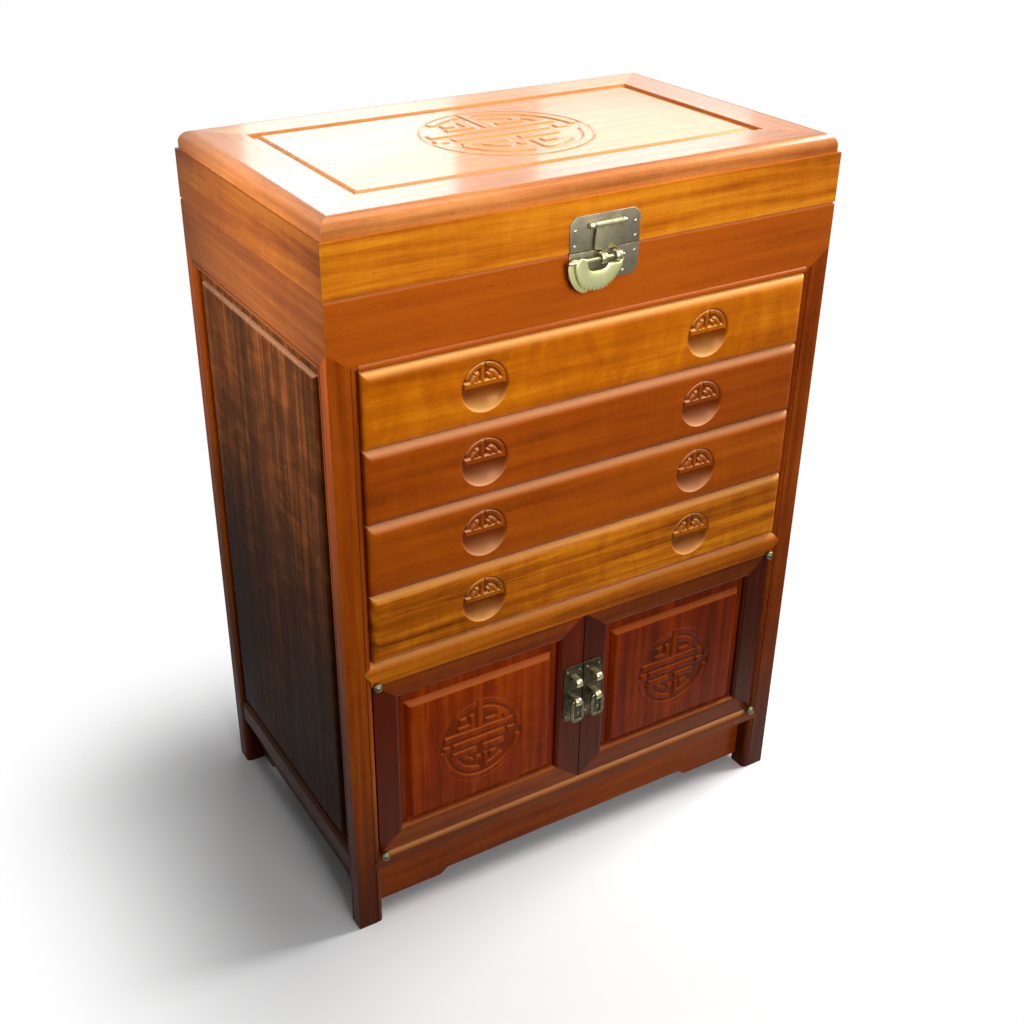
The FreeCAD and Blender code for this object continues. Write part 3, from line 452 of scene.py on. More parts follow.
@dataclass(frozen=True)
class PlainBoard:
    """Sawn and sanded inner board with no lacquer: pale, dry and straight grained.

    Beyond side_mm from the middle plane the boards stand at the sides and run back.
    """

    name: str
    pale: str
    dark: str
    grain: Grain
    side_mm: float = 1000.0
    ring_mm: float = 7.0
    run_mm: float = 240.0
    stops: tuple[float, float] = (0.35, 0.68)
    roughness: float = 0.62

    def make(self) -> bpy.types.Material:
        """Build the material.

        Returns:
            The finished material.
        """
        material, tree = empty_material(self.name)
        at_side = calculate(tree, "GREATER_THAN",
                            calculate(tree, "ABSOLUTE", place_of(tree, "X")), self.side_mm * MM)
        level, upright = (noise(tree, place_of(tree), grain, self.ring_mm, self.run_mm,
                                detail=5.0, rough=0.6)
                          for grain in (self.grain, Grain.ALONG_Y))
        rings = node(tree, "Mix", {"data_type": "FLOAT", 0: at_side, 2: level, 3: upright})
        colour = ramp(tree, rings, list(zip(self.stops, (self.dark, self.pale))))
        bump = node(tree, "Bump", {"Strength": 0.15, "Distance": 0.3 * MM, "Height": rings})
        end_tree(tree, node(tree, "BsdfPrincipled", {"Roughness": self.roughness,
                                                     "Base Color": colour, "Normal": bump}))
        return material


@dataclass(frozen=True)
class AgedBrass:
    """Cast or rolled brass, browned with age and rubbed bright where hands touch it."""

    name: str
    bright: str
    brown: str
    roughness: float = 0.32
    patch_mm: float = 7.0
    pit_mm: float = 0.8
    stops: tuple[float, float] = (0.36, 0.64)
    gloss_range: tuple[float, float] = (0.3, 0.7)
    gloss_change: tuple[float, float] = (0.12, -0.06)

    def make(self) -> bpy.types.Material:
        """Build the material.

        Returns:
            The finished material.
        """
        material, tree = empty_material(self.name)
        patches, pits = (
            node(tree, "TexNoise", {"Scale": 1.0 / (size * MM), "Detail": detail,
                                    "Roughness": rough, "Vector": place_of(tree)})
            for size, detail, rough in ((self.patch_mm, 6.0, 0.62), (self.pit_mm, 2.0, 0.5)))
        colour = ramp(tree, patches, list(zip(self.stops, (self.brown, self.bright))))
        browned, bright = (self.roughness + change for change in self.gloss_change)
        gloss = map_range(tree, patches, self.gloss_range, (browned, bright))
        bump = node(tree, "Bump", {"Strength": 0.12, "Distance": 0.2 * MM, "Height": pits})
        end_tree(tree, node(tree, "BsdfPrincipled", {"Metallic": 1.0, "Base Color": colour,
                                                     "Roughness": gloss, "Normal": bump}))
        return material



Recipe = LacqueredRosewood | PlainBoard | AgedBrass


class Finishes:
    """Every finish of the cabinet, made once and handed out by name."""

    def __init__(self) -> None:
        """Start with no material made."""
        self._made: dict[str, bpy.types.Material] = {}

    def give(self, recipe: Recipe) -> bpy.types.Material:
        """Give the material of a recipe, made the first time it is asked for."""
        if recipe.name not in self._made:
            self._made[recipe.name] = recipe.make()
        return self._made[recipe.name]

    def dress(self, name: str, recipe: Recipe) -> None:
        """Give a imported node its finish."""
        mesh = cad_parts[name].data
        mesh.materials.clear()
        mesh.materials.append(self.give(recipe))


FINISHES = Finishes()
BRASS_PLATE = AgedBrass("aged_rolled_brass", "AEA58E", "857D68", 0.46, 16.0)
BRASS_DARK = AgedBrass("dark_rolled_brass", "5E5844", "3A3526", 0.4, 12.0)
BRASS_STRAP = AgedBrass("worn_rolled_brass", "C6BC9A", "948A6C", 0.42, 12.0)
BRASS_CAST = AgedBrass("aged_cast_brass", "E0DAB4", "A8A07C", 0.32, 6.0)
BRASS_RING = AgedBrass("dark_cast_brass", "8C8468", "544C38", 0.36, 5.0)
BRASS_FISH = AgedBrass("pale_cast_brass", "F0F0B8", "D6D690", 0.48, 9.0)
INNER_BOARD = PlainBoard("plain_sawn_board", "B98A5C", "8A5D37", Grain.ALONG_X)
DRAWER_BOARD = PlainBoard("plain_drawer_board", "BE9062", "8E623C", Grain.ALONG_X, 222.0)


def placed(name: str, data: bpy.types.ID) -> bpy.types.Object:
    """Make an object of its data and link it to the scene."""
    made = bpy.data.objects.new(name, data)
    bpy.context.scene.collection.objects.link(made)
    return made


def mesh_object(name: str, shape: Shape, material: bpy.types.Material, body: str,
                turn_outward: bool = True, smooth_degrees: float = 38.0) -> bpy.types.Object:
    """Make a piece from its shape, and let it ride on a body.

    Args:
        name: Name of the piece.
        shape: Points in metres, rows of four point numbers, and faces with many corners.
        material: Finish.
        body: Body that the piece moves with.
        turn_outward: Whether the faces still have to be turned to face outward.
        smooth_degrees: Edges sharper than this stay crisp.

    Returns:
        The new object.
    """
    points, quads, covers = shape
    mesh = bpy.data.meshes.new(name)
    mesh.from_pydata(points.tolist(), [], quads.tolist() + [cover.tolist() for cover in covers])
    mesh.validate()
    if turn_outward:
        loose = bmesh.new()
        loose.from_mesh(mesh)
        bmesh.ops.recalc_face_normals(loose, faces=loose.faces[:])
        loose.to_mesh(mesh)
        loose.free()
    mesh.shade_smooth()
    mesh.set_sharp_from_angle(angle=math.radians(smooth_degrees))
    made = placed(name, mesh)
    mesh.materials.append(material)
    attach(made, body)
    LOG.info("made %s with %d points", name, len(points))
    return made


def grid_faces(rows: int, columns: int, around: bool = False) -> Array:
    """Quads of a grid of points, row after row.

    Args:
        rows: Number of rows of points.
        columns: Number of points in a row.
        around: Whether the last point of a row joins the first.

    Returns:
        Rows of four point numbers.
    """
    steps = columns if around else columns - 1
    row, column = np.meshgrid(np.arange(rows - 1), np.arange(steps), indexing="ij")
    after = (column + 1) % columns
    return np.stack([row * columns + column, row * columns + after,
                     (row + 1) * columns + after, (row + 1) * columns + column],
                    axis=-1).reshape(-1, 4)


def smooth_step(value: Array) -> Array:
    """Ease a value from zero to one, and hold it beyond."""
    held = np.clip(value, 0, 1)
    return held * held * (3 - 2 * held)


def quarter_round(share: Array, radius: float) -> Array:
    """Depth of a quarter round, from none at a share of zero to its radius at one."""
    return radius * (1 - np.sqrt(1 - share ** 2))


def superellipse(count: int, power: float) -> tuple[Array, Array]:
    """Cosine and sine round a turn, each raised to a power with its sign kept.

    Args:
        count: Number of angles.
        power: The power.

    Returns:
        The cosines and the sines.
    """
    angle = np.linspace(0, 2 * math.pi, count, endpoint=False)
    waves = np.stack([np.cos(angle), np.sin(angle)])
    cosine, sine = np.sign(waves) * np.abs(waves) ** power
    return cosine, sine


def box_distance(across: Array, up: Array, left: float, right: float,
                 low: float, high: float) -> Array:
    """Signed distance to an upright rectangle, negative inside it.

    Args:
        across: Coordinates across the board.
        up: Coordinates up the board.
        left: Left edge.
        right: Right edge.
        low: Lower edge.
        high: Upper edge.

    Returns:
        One distance for each point.
    """
    outside_x = np.abs(across - (left + right) / 2) - (right - left) / 2
    outside_z = np.abs(up - (low + high) / 2) - (high - low) / 2
    corner = np.hypot(np.maximum(outside_x, 0), np.maximum(outside_z, 0))
    return corner + np.minimum(np.maximum(outside_x, outside_z), 0)


def arc_distance(across: Array, up: Array, radius: float, half: float,
                 start: float, end: float) -> Array:
    """Signed distance to a curved strip round the origin, with blunt round ends.

    Args:
        across: Coordinates across the board.
        up: Coordinates up the board.
        radius: Radius of the strip's middle line.
        half: Half of the strip's width.
        start: Angle in degrees where it starts, anticlockwise from the right.
        end: Angle in degrees where it ends, more than the start.

    Returns:
        One distance for each point.
    """
    turn = np.mod(np.degrees(np.arctan2(up, across)) - start, 360)
    along = np.abs(np.hypot(across, up) - radius)
    ends = [np.hypot(across - radius * math.cos(math.radians(a)),
                     up - radius * math.sin(math.radians(a))) for a in (start, end)]
    return np.where(turn <= end - start, along, np.minimum(*ends)) - half


def sign_distance(across: Array, up: Array, arcs: Sequence[Sequence[float]],
                  bars: Sequence[Sequence[float]]) -> Array:
    """Signed distance to the nearest stroke of a carved sign.

    Args:
        across: Coordinates across the board.
        up: Coordinates up the board.
        arcs: Radius, half width, start and end of each arc.
        bars: Left, right, lower and upper edge of each bar.

    Returns:
        One distance for each point.
    """
    return np.minimum.reduce([arc_distance(across, up, *arc) for arc in arcs]
                             + [box_distance(across, up, *bar) for bar in bars])


def carve(distance: Array, sink: float, wall: float, shoulder: float) -> Array:
    """Depth of a carved ground round raised strokes.

    Outside a stroke the depth rises to the ground by a smooth step over the wall's width. On
    the stroke, a quarter round of the shoulder's size eases its edge.

    Args:
        distance: Signed distance to the strokes.
        sink: Depth of the ground.
        wall: Width of the sloped wall.
        shoulder: Radius of the eased edge.

    Returns:
        Depth into the wood for each point.
    """
    steepest = 0.97
    rounded = quarter_round(np.clip(1 + distance / shoulder, 0, steepest), shoulder)
    return rounded + (sink - rounded.max()) * smooth_step(distance / wall)


def spaced(parts: Sequence[Array], pitch: float, high: float) -> Array:
    """Sort grid lines and leave out those nearer than a tenth of the pitch.

    Args:
        parts: Places of the lines.
        pitch: Distance of the finest lines.
        high: Upper edge, where the last line is laid.

    Returns:
        Rising places.
    """
    places = np.sort(np.concatenate(parts))
    places = places[np.concatenate([[True], np.diff(places) > pitch * 0.1])]
    places[-1] = high
    return places


@dataclass
class CarvedBoard:
    """A solid board whose face is a height field over a grid of close and wide lines."""

    name: str
    low: Array
    high: Array
    body: str
    slot: str
    facing: Facing = Facing.FRONT

    def build(self, across: Array, up: Array, depth: Array, carved: Array,
              material: bpy.types.Material) -> bpy.types.Object:
        """Make the board from the depth of its face at each grid point.

        The face lies at the box's own side, moved in by the depth. A skirt joins its rim to a
        flat back.

        Args:
            across: Places of the grid lines along X, or along Y for a board at the side.
            up: Places of the grid lines along Z, or along Y for a board that faces up.
            depth: Depth into the wood, one row for each place up.
            carved: The part of the depth that is carving, for the finish.
            material: Finish.

        Returns:
            The new board.
        """
        axis, way = self.facing.value
        near, far = (self.low, self.high) if way > 0 else (self.high, self.low)
        planes = list(np.meshgrid(across, up))
        planes.insert(axis, near[axis] + way * depth)
        face = np.stack(planes, axis=-1)
        flat = face.copy()
        flat[..., axis] = far[axis]
        numbers = np.arange(depth.size).reshape(depth.shape)
        rim = np.concatenate([numbers[0, :-1], numbers[:-1, -1], numbers[-1, :0:-1],
                              numbers[:0:-1, 0]])
        backs = np.arange(len(rim)) + depth.size
        skirt = np.stack([np.roll(rim, -1), rim, backs, np.roll(backs, -1)], axis=-1)
        points = np.concatenate([face.reshape(-1, 3), flat.reshape(-1, 3)[rim]])
        quads = np.concatenate([grid_faces(*depth.shape), skirt])
        made = mesh_object(self.name, (points, quads, [backs[::-1]]), material, self.body,
                           turn_outward=self.facing is Facing.LEFT)
        sunk = np.concatenate([carved.ravel(), np.zeros(len(rim))]).astype(np.float32)
        layer = made.data.attributes.new("sunk", "FLOAT", "POINT")
        layer.data.foreach_set("value", sunk)
        return made


@dataclass(frozen=True)
class ShouRoundel:
    """The round long-life character of the doors and the lid, drawn at an outer radius of 51.

    Each arc holds its radius, half width, start and end in degrees. Each bar holds its left,
    right, lower and upper edge.
    """

    radius: float
    sink: float = 1.8 * MM
    wall: float = 1.5 * MM
    shoulder: float = 1.4 * MM
    drawn_radius: float = 51.0
    arcs: Sequence[Sequence[float]] = (
        (46.5, 3.3, 4, 86), (46.5, 3.3, 101, 128), (46.5, 3.3, 186, 345), (36.5, 3.0, 30, 83),
        (36.5, 3.0, 203, 261), (36.0, 2.8, 281, 310), (26.5, 2.6, 206, 240))
    bars: Sequence[Sequence[float]] = (
        (-4.6, 1.9, 16, 50), (5.5, 24, 18.5, 24), (18.5, 24, 18.5, 29), (-26, -18, 26.5, 33),
        (-28, -8.5, 18.2, 23), (-14, -8.5, 18.2, 34), (-44, 38.5, 8.6, 15.4),
        (-34.5, 28.5, -2.9, 4.1), (32, 41, -3.5, 3.0), (-46, -38, -3.0, 4.1),
        (-34.5, -6.5, -14.2, -7.4), (1.5, 27, -14.2, -7.4), (9.5, 18.5, -25.5, -19),
        (-6.0, -1.0, -25, -20), (3.0, 7.5, -36, -19))

    def depth(self, across: Array, up: Array) -> Array:
        """Depth of the carving round the origin.

        The strokes are left at the board's face. The ground between them is sunk inside the
        outer radius only.

        Args:
            across: Coordinates across, from the middle of the roundel.
            up: Coordinates up, from the middle of the roundel.

        Returns:
            Depth into the wood for each point.
        """
        scale = self.drawn_radius / self.radius
        nearest = sign_distance(across * scale, up * scale, self.arcs, self.bars) / scale
        inside = (self.radius - np.hypot(across, up)) / (self.wall * 1.2)
        return carve(nearest, self.sink, self.wall, self.shoulder) * smooth_step(inside)


@dataclass(frozen=True)
class FingerPull:
    """The round carved pull of a drawer, in millimetres: a carved half over a scoop.

    The arcs and bars are held as those of the roundel.
    """

    radius: float = 25.5
    scoop: float = 9.0
    sink: float = 2.0
    base: float = 0.7
    wall: float = 1.4
    shoulder: float = 1.2
    flare: float = 2.4
    fullness: float = 0.8
    lip: float = 0.2
    step: float = 1.3
    arcs: Sequence[Sequence[float]] = ((21.0, 2.0, -12, 82), (21.0, 2.0, 101, 150),
                                       (14.2, 1.8, 18, 60), (14.0, 1.8, 122, 160))
    bars: Sequence[Sequence[float]] = (
        (-4.2, -0.4, 2, 22), (-21, 17.5, 0, 5.4), (-10, -6.4, 5, 14), (2.6, 8.5, 8.0, 11.5),
        (5.2, 8.6, 5, 11.5), (12.5, 20, 0, 4.8))

    def depth(self, across: Array, up: Array) -> Array:
        """Depth of the pull round the origin.

        Below the bar a bowl falls away from its flared rim and is deepest under the bar. The
        upper half has a ring, a post, arcs and blocks left near the face, over a shallow ground.

        Args:
            across: Coordinates across in metres, from the middle of the pull.
            up: Coordinates up in metres, from the middle of the pull.

        Returns:
            Depth into the wood in metres for each point.
        """
        x, z = across / MM, up / MM
        away = np.hypot(x, z)
        strokes = sign_distance(x, z, self.arcs, self.bars)
        upper = self.base + carve(strokes, self.sink, self.wall, self.shoulder)
        upper = upper * smooth_step((self.radius - away) / self.flare)
        fall = np.clip(1 - (away / self.radius) ** 2, 0, 1)
        bowl = np.maximum(self.scoop * fall ** self.fullness, upper * self.lip)
        below = smooth_step(-z / self.step)
        return (upper * (1 - below) + bowl * below) * MM


def edge_round(wide: Array, tall: Array, low: Array, high: Array, edge: float,
               stretch: float = 1.0) -> Array:
    """Depth of a quarter round along a board's four edges, mitred at the corners.

    Args:
        wide: Coordinates across.
        tall: Coordinates up.
        low: Low corner.
        high: High corner.
        edge: Radius of the round.
        stretch: How far the round of the upper edge is drawn out into part of an ellipse.

    Returns:
        Depth into the wood for each point.
    """
    inset = np.minimum.reduce([wide - low[0], high[0] - wide, tall - low[1],
                               (high[1] - tall) / stretch])
    return quarter_round(np.clip(1 - inset / edge, 0, 1), edge)


@dataclass
class DrawerFronts:
    """Four amber drawer fronts with moulded edges and two carved pulls each."""

    count: int = 4
    edge: float = 7.5 * MM
    upper_edge: float = 10.5 * MM
    edge_lines: int = 9
    upper_edge_lines: int = 12
    pull_place: float = 0.51
    margin: float = 27.5 * MM
    pitch: float = 0.4 * MM
    coarse: float = 12.0 * MM

    def build(self) -> None:
        """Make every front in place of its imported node."""
        for number in range(1, self.count + 1):
            node_name = f"drawer_{number}_front"
            low, high = low_high(node_name)
            middle = (low + high) / 2
            places = [middle[0] + (high[0] - middle[0]) * self.pull_place * hand
                      for hand in (-1, 1)]
            across = self._lines(low[0], high[0], self.edge, self.edge_lines, places)
            up = self._lines(low[2], high[2], self.upper_edge, self.upper_edge_lines,
                             [middle[2]])
            wide, tall = np.meshgrid(across, up)
            carved = sum(FingerPull().depth(wide - x, tall - middle[2]) for x in places)
            depth = carved + edge_round(wide, tall, low[[0, 2]], high[[0, 2]], self.edge,
                                        self.upper_edge / self.edge)
            board = CarvedBoard(f"drawer_{number}_carved_front", low, high, f"drawer_{number}",
                                "drawer_wood")
            made = board.build(across, up, depth, carved, FINISHES.give(recipe_of(node_name)))
            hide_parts(node_name)

    def _lines(self, low: float, high: float, edge: float, steps: int,
               pulls: Sequence[float]) -> Array:
        """Places of the grid lines: close at both eased edges and over the pulls.

        Args:
            low: One edge of the board.
            high: The other edge.
            edge: Width of the eased edge, drawn by equal turns of a quarter round.
            steps: Number of lines for each eased edge.
            pulls: Middles of the pulls.

        Returns:
            Rising places.
        """
        turns = edge * (1 - np.cos(np.linspace(0, QUARTER, steps)))
        parts = [low + turns, high - turns,
                 np.linspace(low + edge, high - edge, max(2, int((high - low) / self.coarse)))]
        for middle in pulls:
            start = max(middle - self.margin, low + edge)
            end = min(middle + self.margin, high - edge)
            parts.append(np.linspace(start, end, int((end - start) / self.pitch) + 1))
        return spaced(parts, self.pitch, high)


@dataclass
class RaisedPanel:
    """A panel whose field stands above a flat moat, with or without a carved roundel.

    The moat has a width each at the left, right, foot and top. The grid lines are close over
    the roundel's reach from its middle, which may lie a drop below the panel's own middle.
    """

    node: str
    piece: str
    body: str
    slot: str
    facing: Facing
    moats: tuple[float, float, float, float]
    climb: float
    moat_depth: float = 0.0
    rise: Rise = Rise.HOLLOW_BEVEL
    roundel: ShouRoundel | None = None
    reach: float = 0.0
    drop: float = 0.0
    squash: float = 1.0
    pitch: float = MM
    coarse_lines: int = 14

    def build(self) -> None:
        """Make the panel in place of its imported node."""
        low, high = low_high(self.node)
        plane = [axis for axis in range(3) if axis != self.facing.value[0]]
        corner, far = low[plane], high[plane]
        middle = (corner + far) / 2 - np.array((0.0, self.drop))
        across, up = (self._lines(corner[k], far[k], self.moats[2 * k:2 * k + 2], middle[k])
                      for k in (0, 1))
        wide, tall = np.meshgrid(across, up)
        carved = np.zeros_like(wide)
        if self.roundel:
            carved = self.roundel.depth(wide - middle[0], (tall - middle[1]) / self.squash)
        field_low = corner + np.array(self.moats[::2])
        field_high = far - np.array(self.moats[1::2])
        if self.rise is Rise.QUARTER_ROUND:
            depth = edge_round(wide, tall, field_low, field_high, self.climb)
        else:
            depth = self._bevel(wide, tall, field_low, field_high)
        board = CarvedBoard(self.piece, low, high, self.body, self.slot, self.facing)
        finish = FINISHES.give(recipe_of(self.node))
        made = board.build(across, up, depth + carved, carved, finish)
        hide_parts(self.node)

    def _bevel(self, wide: Array, tall: Array, low: Array, high: Array) -> Array:
        """Depth of the moat and of the hollow bevel up to the field.

        Args:
            wide: Coordinates across.
            tall: Coordinates up.
            low: Low corner inside the moat.
            high: High corner inside the moat.

        Returns:
            Depth into the wood for each point.
        """
        inset = np.minimum.reduce([wide - low[0], high[0] - wide, tall - low[1], high[1] - tall])
        knee = 0.8
        rise = np.clip(inset / self.climb, 0, 1)
        bend = np.where(rise > knee, (rise - knee) ** 2 / (2 * (1 - knee)), 0)
        return self.moat_depth * (1 - (rise - bend) / (1 - (1 - knee) / 2))

    def _lines(self, low: float, high: float, moats: Sequence[float], middle: float) -> Array:
        """Places of the grid lines: the edges, the moats, the climbs and the carved middle.

        Args:
            low: One edge of the panel.
            high: The other edge.
            moats: Width of the moat at each edge.
            middle: Middle of the carving.

        Returns:
            Rising places.
        """
        turns = [np.concatenate([np.array([0, 0.5, 0.9]) * moat,
                                 moat + np.linspace(0, self.climb, 9),
                                 moat + self.climb + np.array([0.4, 2.0]) * MM])
                 for moat in moats]
        inset = self.climb + 3 * MM
        inner = np.linspace(low + moats[0] + inset, high - moats[1] - inset, self.coarse_lines)
        carved = np.linspace(middle - self.reach, middle + self.reach,
                             int(2 * self.reach / self.pitch) + 1)
        return spaced([low + turns[0], high - turns[1], inner, carved], self.pitch, high)


def side_panels() -> list[RaisedPanel]:
    """Describe the plain panels of the sides, whose fields end in a quarter round.

    Returns:
        The left and the right panel.
    """
    return [RaisedPanel(f"{side}_side_panel", f"{side}_raised_side_panel", "carcass",
                        "case_wood", facing, moats=(10.0 * MM,) * 4, climb=4.5 * MM,
                        rise=Rise.QUARTER_ROUND)
            for side, facing in (("left", Facing.LEFT), ("right", Facing.RIGHT))]


def door_panels() -> list[RaisedPanel]:
    """Describe the door panels, whose fields sit low between unequal moats.

    Returns:
        The left and the right panel.
    """
    return [RaisedPanel(f"{side}_door_panel", f"{side}_carved_door_panel", f"{side}_door",
                        "door_wood", Facing.FRONT,
                        moats=(7.0 * MM, 7.0 * MM, 4.5 * MM, 12.5 * MM), climb=5.5 * MM,
                        moat_depth=6.0 * MM, roundel=ShouRoundel(radius=51.0 * MM),
                        reach=57.06 * MM, drop=6.0 * MM, squash=1.05, pitch=0.5 * MM)
            for side in ("left", "right")]


def lid_panel() -> RaisedPanel:
    """Describe the lid's panel with its large, shallow roundel.

    Returns:
        The panel.
    """
    return RaisedPanel("lid_panel", "carved_lid_panel", "lid", "lid_wood", Facing.TOP,
                       moats=(8.5 * MM,) * 4, climb=3.0 * MM, moat_depth=2.4 * MM,
                       roundel=ShouRoundel(radius=88.0 * MM, sink=1.0 * MM, wall=2.8 * MM,
                                           shoulder=2.0 * MM),
                       reach=91.0 * MM, pitch=0.75 * MM)


@dataclass
class RailBead:
    """The fine half-round bead along the lower edge of the front rail, over the drawers."""

    half_height: float = 3.1 * MM
    proud: float = 1.9 * MM
    lift: float = 0.3 * MM

    def build(self) -> None:
        """Lay the bead on the rail's face, from post to post."""
        face, foot = low_high("front_top_rail")[0][1:]
        reach = low_high("front_right_post")[0][0]
        level = foot + self.lift + self.half_height
        path = np.array([(x, face, level) for x in (-reach, 0.0, reach)])
        shape = sweep(path, (0, 0, 1), self.half_height, self.proud, 24)
        mesh_object("front_rail_bead", shape, FINISHES.give(RAIL_BEAD), "carcass")


def smooth_curve(knots: Sequence[Sequence[float]], count: int) -> Array:
    """Draw a smooth curve through knots by the usual four-point blend.

    Args:
        knots: Points to pass through, in order.
        count: Number of points wanted.

    Returns:
        Points along the curve, one row each.
    """
    given = np.asarray(knots, dtype=float)
    ends = np.vstack([2 * given[0] - given[1], given, 2 * given[-1] - given[-2]])
    place = np.linspace(0, len(given) - 1 - 1e-9, count)
    start = place.astype(int)
    t = (place - start)[:, None]
    before, here, after, later = (ends[start + k] for k in range(4))
    return 0.5 * (2 * here + (after - before) * t
                  + (2 * before - 5 * here + 4 * after - later) * t ** 2
                  + (3 * here - before - 3 * after + later) * t ** 3)


def sweep(path: Array, across: Array | Sequence[float], half_across: Array | float,
          half_over: Array | float, turns: int = 20, power: float = 2.0, closed: bool = False,
          over: Sequence[float] | None = None) -> Shape:
    """Carry a rounded section along a path.

    Each ring is a superellipse: the cosine and sine of its angle, each raised to two over the
    power, times the half widths.

    Args:
        path: Middle line, one row for each ring.
        across: Direction of the section's first half width at each ring, or one for all.
        half_across: First half width, one value or one for each ring.
        half_over: Second half width.
        turns: Number of points round the section.
        power: Two gives an ellipse, more gives a squarer section.
        closed: Whether the path's end joins its start.
        over: Direction of the second half width, where the rings needn't be square to the path.

    Returns:
        The swept shape.
    """
    count = len(path)
    first = np.broadcast_to(np.asarray(across, dtype=float), path.shape)
    if over is None:
        along = np.gradient(path, axis=0)
        if closed:
            along = np.roll(path, -1, axis=0) - np.roll(path, 1, axis=0)
        along = along / np.linalg.norm(along, axis=1, keepdims=True)
        first = first - along * np.sum(first * along, axis=1, keepdims=True)
    first = first / np.linalg.norm(first, axis=1, keepdims=True)
    second = np.cross(along, first) if over is None else np.broadcast_to(over, path.shape)
    cosine, sine = superellipse(turns, 2 / power)
    wide, thick = (np.broadcast_to(np.asarray(half, dtype=float), (count,))
                   for half in (half_across, half_over))
    rings = (path[:, None] + first[:, None] * (wide[:, None] * cosine)[..., None]
             + second[:, None] * (thick[:, None] * sine)[..., None])
    if closed:
        return rings.reshape(-1, 3), grid_faces(count + 1, turns, True) % (count * turns), []
    caps = [np.arange(turns)[::-1], np.arange(turns) + (count - 1) * turns]
    return rings.reshape(-1, 3), grid_faces(count, turns, True), caps


def turned_rod(reach_mm: Sequence[float], radius_mm: Sequence[float], y: float, z: float,
               turns: int = 20) -> Shape:
    """Turn a rod along X from its radius at each place.

    Args:
        reach_mm: Places along X in millimetres.
        radius_mm: Radius at each place in millimetres.
        y: Place of its axis along Y in metres.
        z: Place of its axis along Z in metres.
        turns: Number of points round it.

    Returns:
        The rod.
    """
    size = np.array(radius_mm) * MM
    return sweep(np.array([(x * MM, y, z) for x in reach_mm]), (0, 1, 0), size, size, turns)


def bevelled_sheet(outline: Array, front: float, back: float, bevel: float = 0.5 * MM) -> Shape:
    """Make a metal sheet that faces -Y from its outline, with an eased front edge.

    Args:
        outline: Corners as x and z, anticlockwise as seen from the front.
        front: Place of its front face along Y.
        back: Place of its back face along Y.
        bevel: Size of the eased edge, drawn as three facets of a quarter round.

    Returns:
        The sheet.
    """
    before = outline - np.roll(outline, 1, axis=0)
    after = np.roll(outline, -1, axis=0) - outline
    normals = [np.stack([-edge[:, 1], edge[:, 0]], axis=-1)
               / np.linalg.norm(edge, axis=1, keepdims=True) for edge in (before, after)]
    inward = normals[0] + normals[1]
    inward = inward / np.maximum(np.sum(inward * normals[0], axis=1, keepdims=True), 0.3)
    rings = [(outline + inward * bevel * (1 - math.sin(turn)), front + bevel * (1 - math.cos(turn)))
             for turn in np.linspace(0, QUARTER, 4)]
    rings.append((outline, back))
    count = len(outline)
    points = np.concatenate([np.insert(flat, 1, place, axis=1) for flat, place in rings])
    covers = [np.arange(count)[::-1], np.arange(count) + (len(rings) - 1) * count]
    return points, grid_faces(len(rings), count, True), covers


def dome(place: Sequence[float], radius: float, height: float) -> Shape:
    """Make a low round nail head on a face that looks along -Y.

    Args:
        place: Middle of its foot.
        radius: Radius of its foot.
        height: Its height, or less than zero for a face that looks along +Y.

    Returns:
        The nail head.
    """
    turn = np.linspace(0, QUARTER, 6)
    middle = np.array(place) - np.outer(np.sin(turn), (0, height, 0))
    size = radius * np.cos(turn) + 0.01 * MM
    return sweep(middle, (1, 0, 0), size, size, 16)


def metal_piece(name: str, parts: Iterable[Shape], finish: AgedBrass,
                body: str) -> bpy.types.Object:
    """Make one piece of brass from several shapes.

    Args:
        name: Name of the piece.
        parts: The shapes.
        finish: Brass recipe.
        body: Body that the piece moves with.

    Returns:
        The new piece.
    """
    points, quads, covers = [], [], []
    count = 0
    for more_points, more_quads, more_covers in parts:
        points.append(more_points)
        quads.append(more_quads + count)
        covers.extend(cover + count for cover in more_covers)
        count += len(more_points)
    return mesh_object(name, (np.concatenate(points), np.concatenate(quads), covers),
                       FINISHES.give(finish), body)


@dataclass(frozen=True)
class Staple:
    """A fat round loop that stands out of a plate, its hole along X."""

    reach: float
    half_width: float
    radius: float
    wire: float
    bends: int = 15

    def shape(self, x: float, face: float, z: float) -> Shape:
        """Shape the loop.

        Args:
            x: Middle of the hole along X.
            face: Place of the plate's face along Y.
            z: Middle of the hole along Z.

        Returns:
            The loop.
        """
        turn = np.linspace(QUARTER, -QUARTER, self.bends)
        bend = np.stack([np.full(self.bends, x),
                         face - self.reach - self.radius * np.cos(turn),
                         z + self.radius * np.sin(turn)], axis=-1)
        path = np.concatenate([[(x, face, z + self.radius)], bend, [(x, face, z - self.radius)]])
        return sweep(path, (1, 0, 0), self.half_width, self.wire, turns=16, power=2.6)


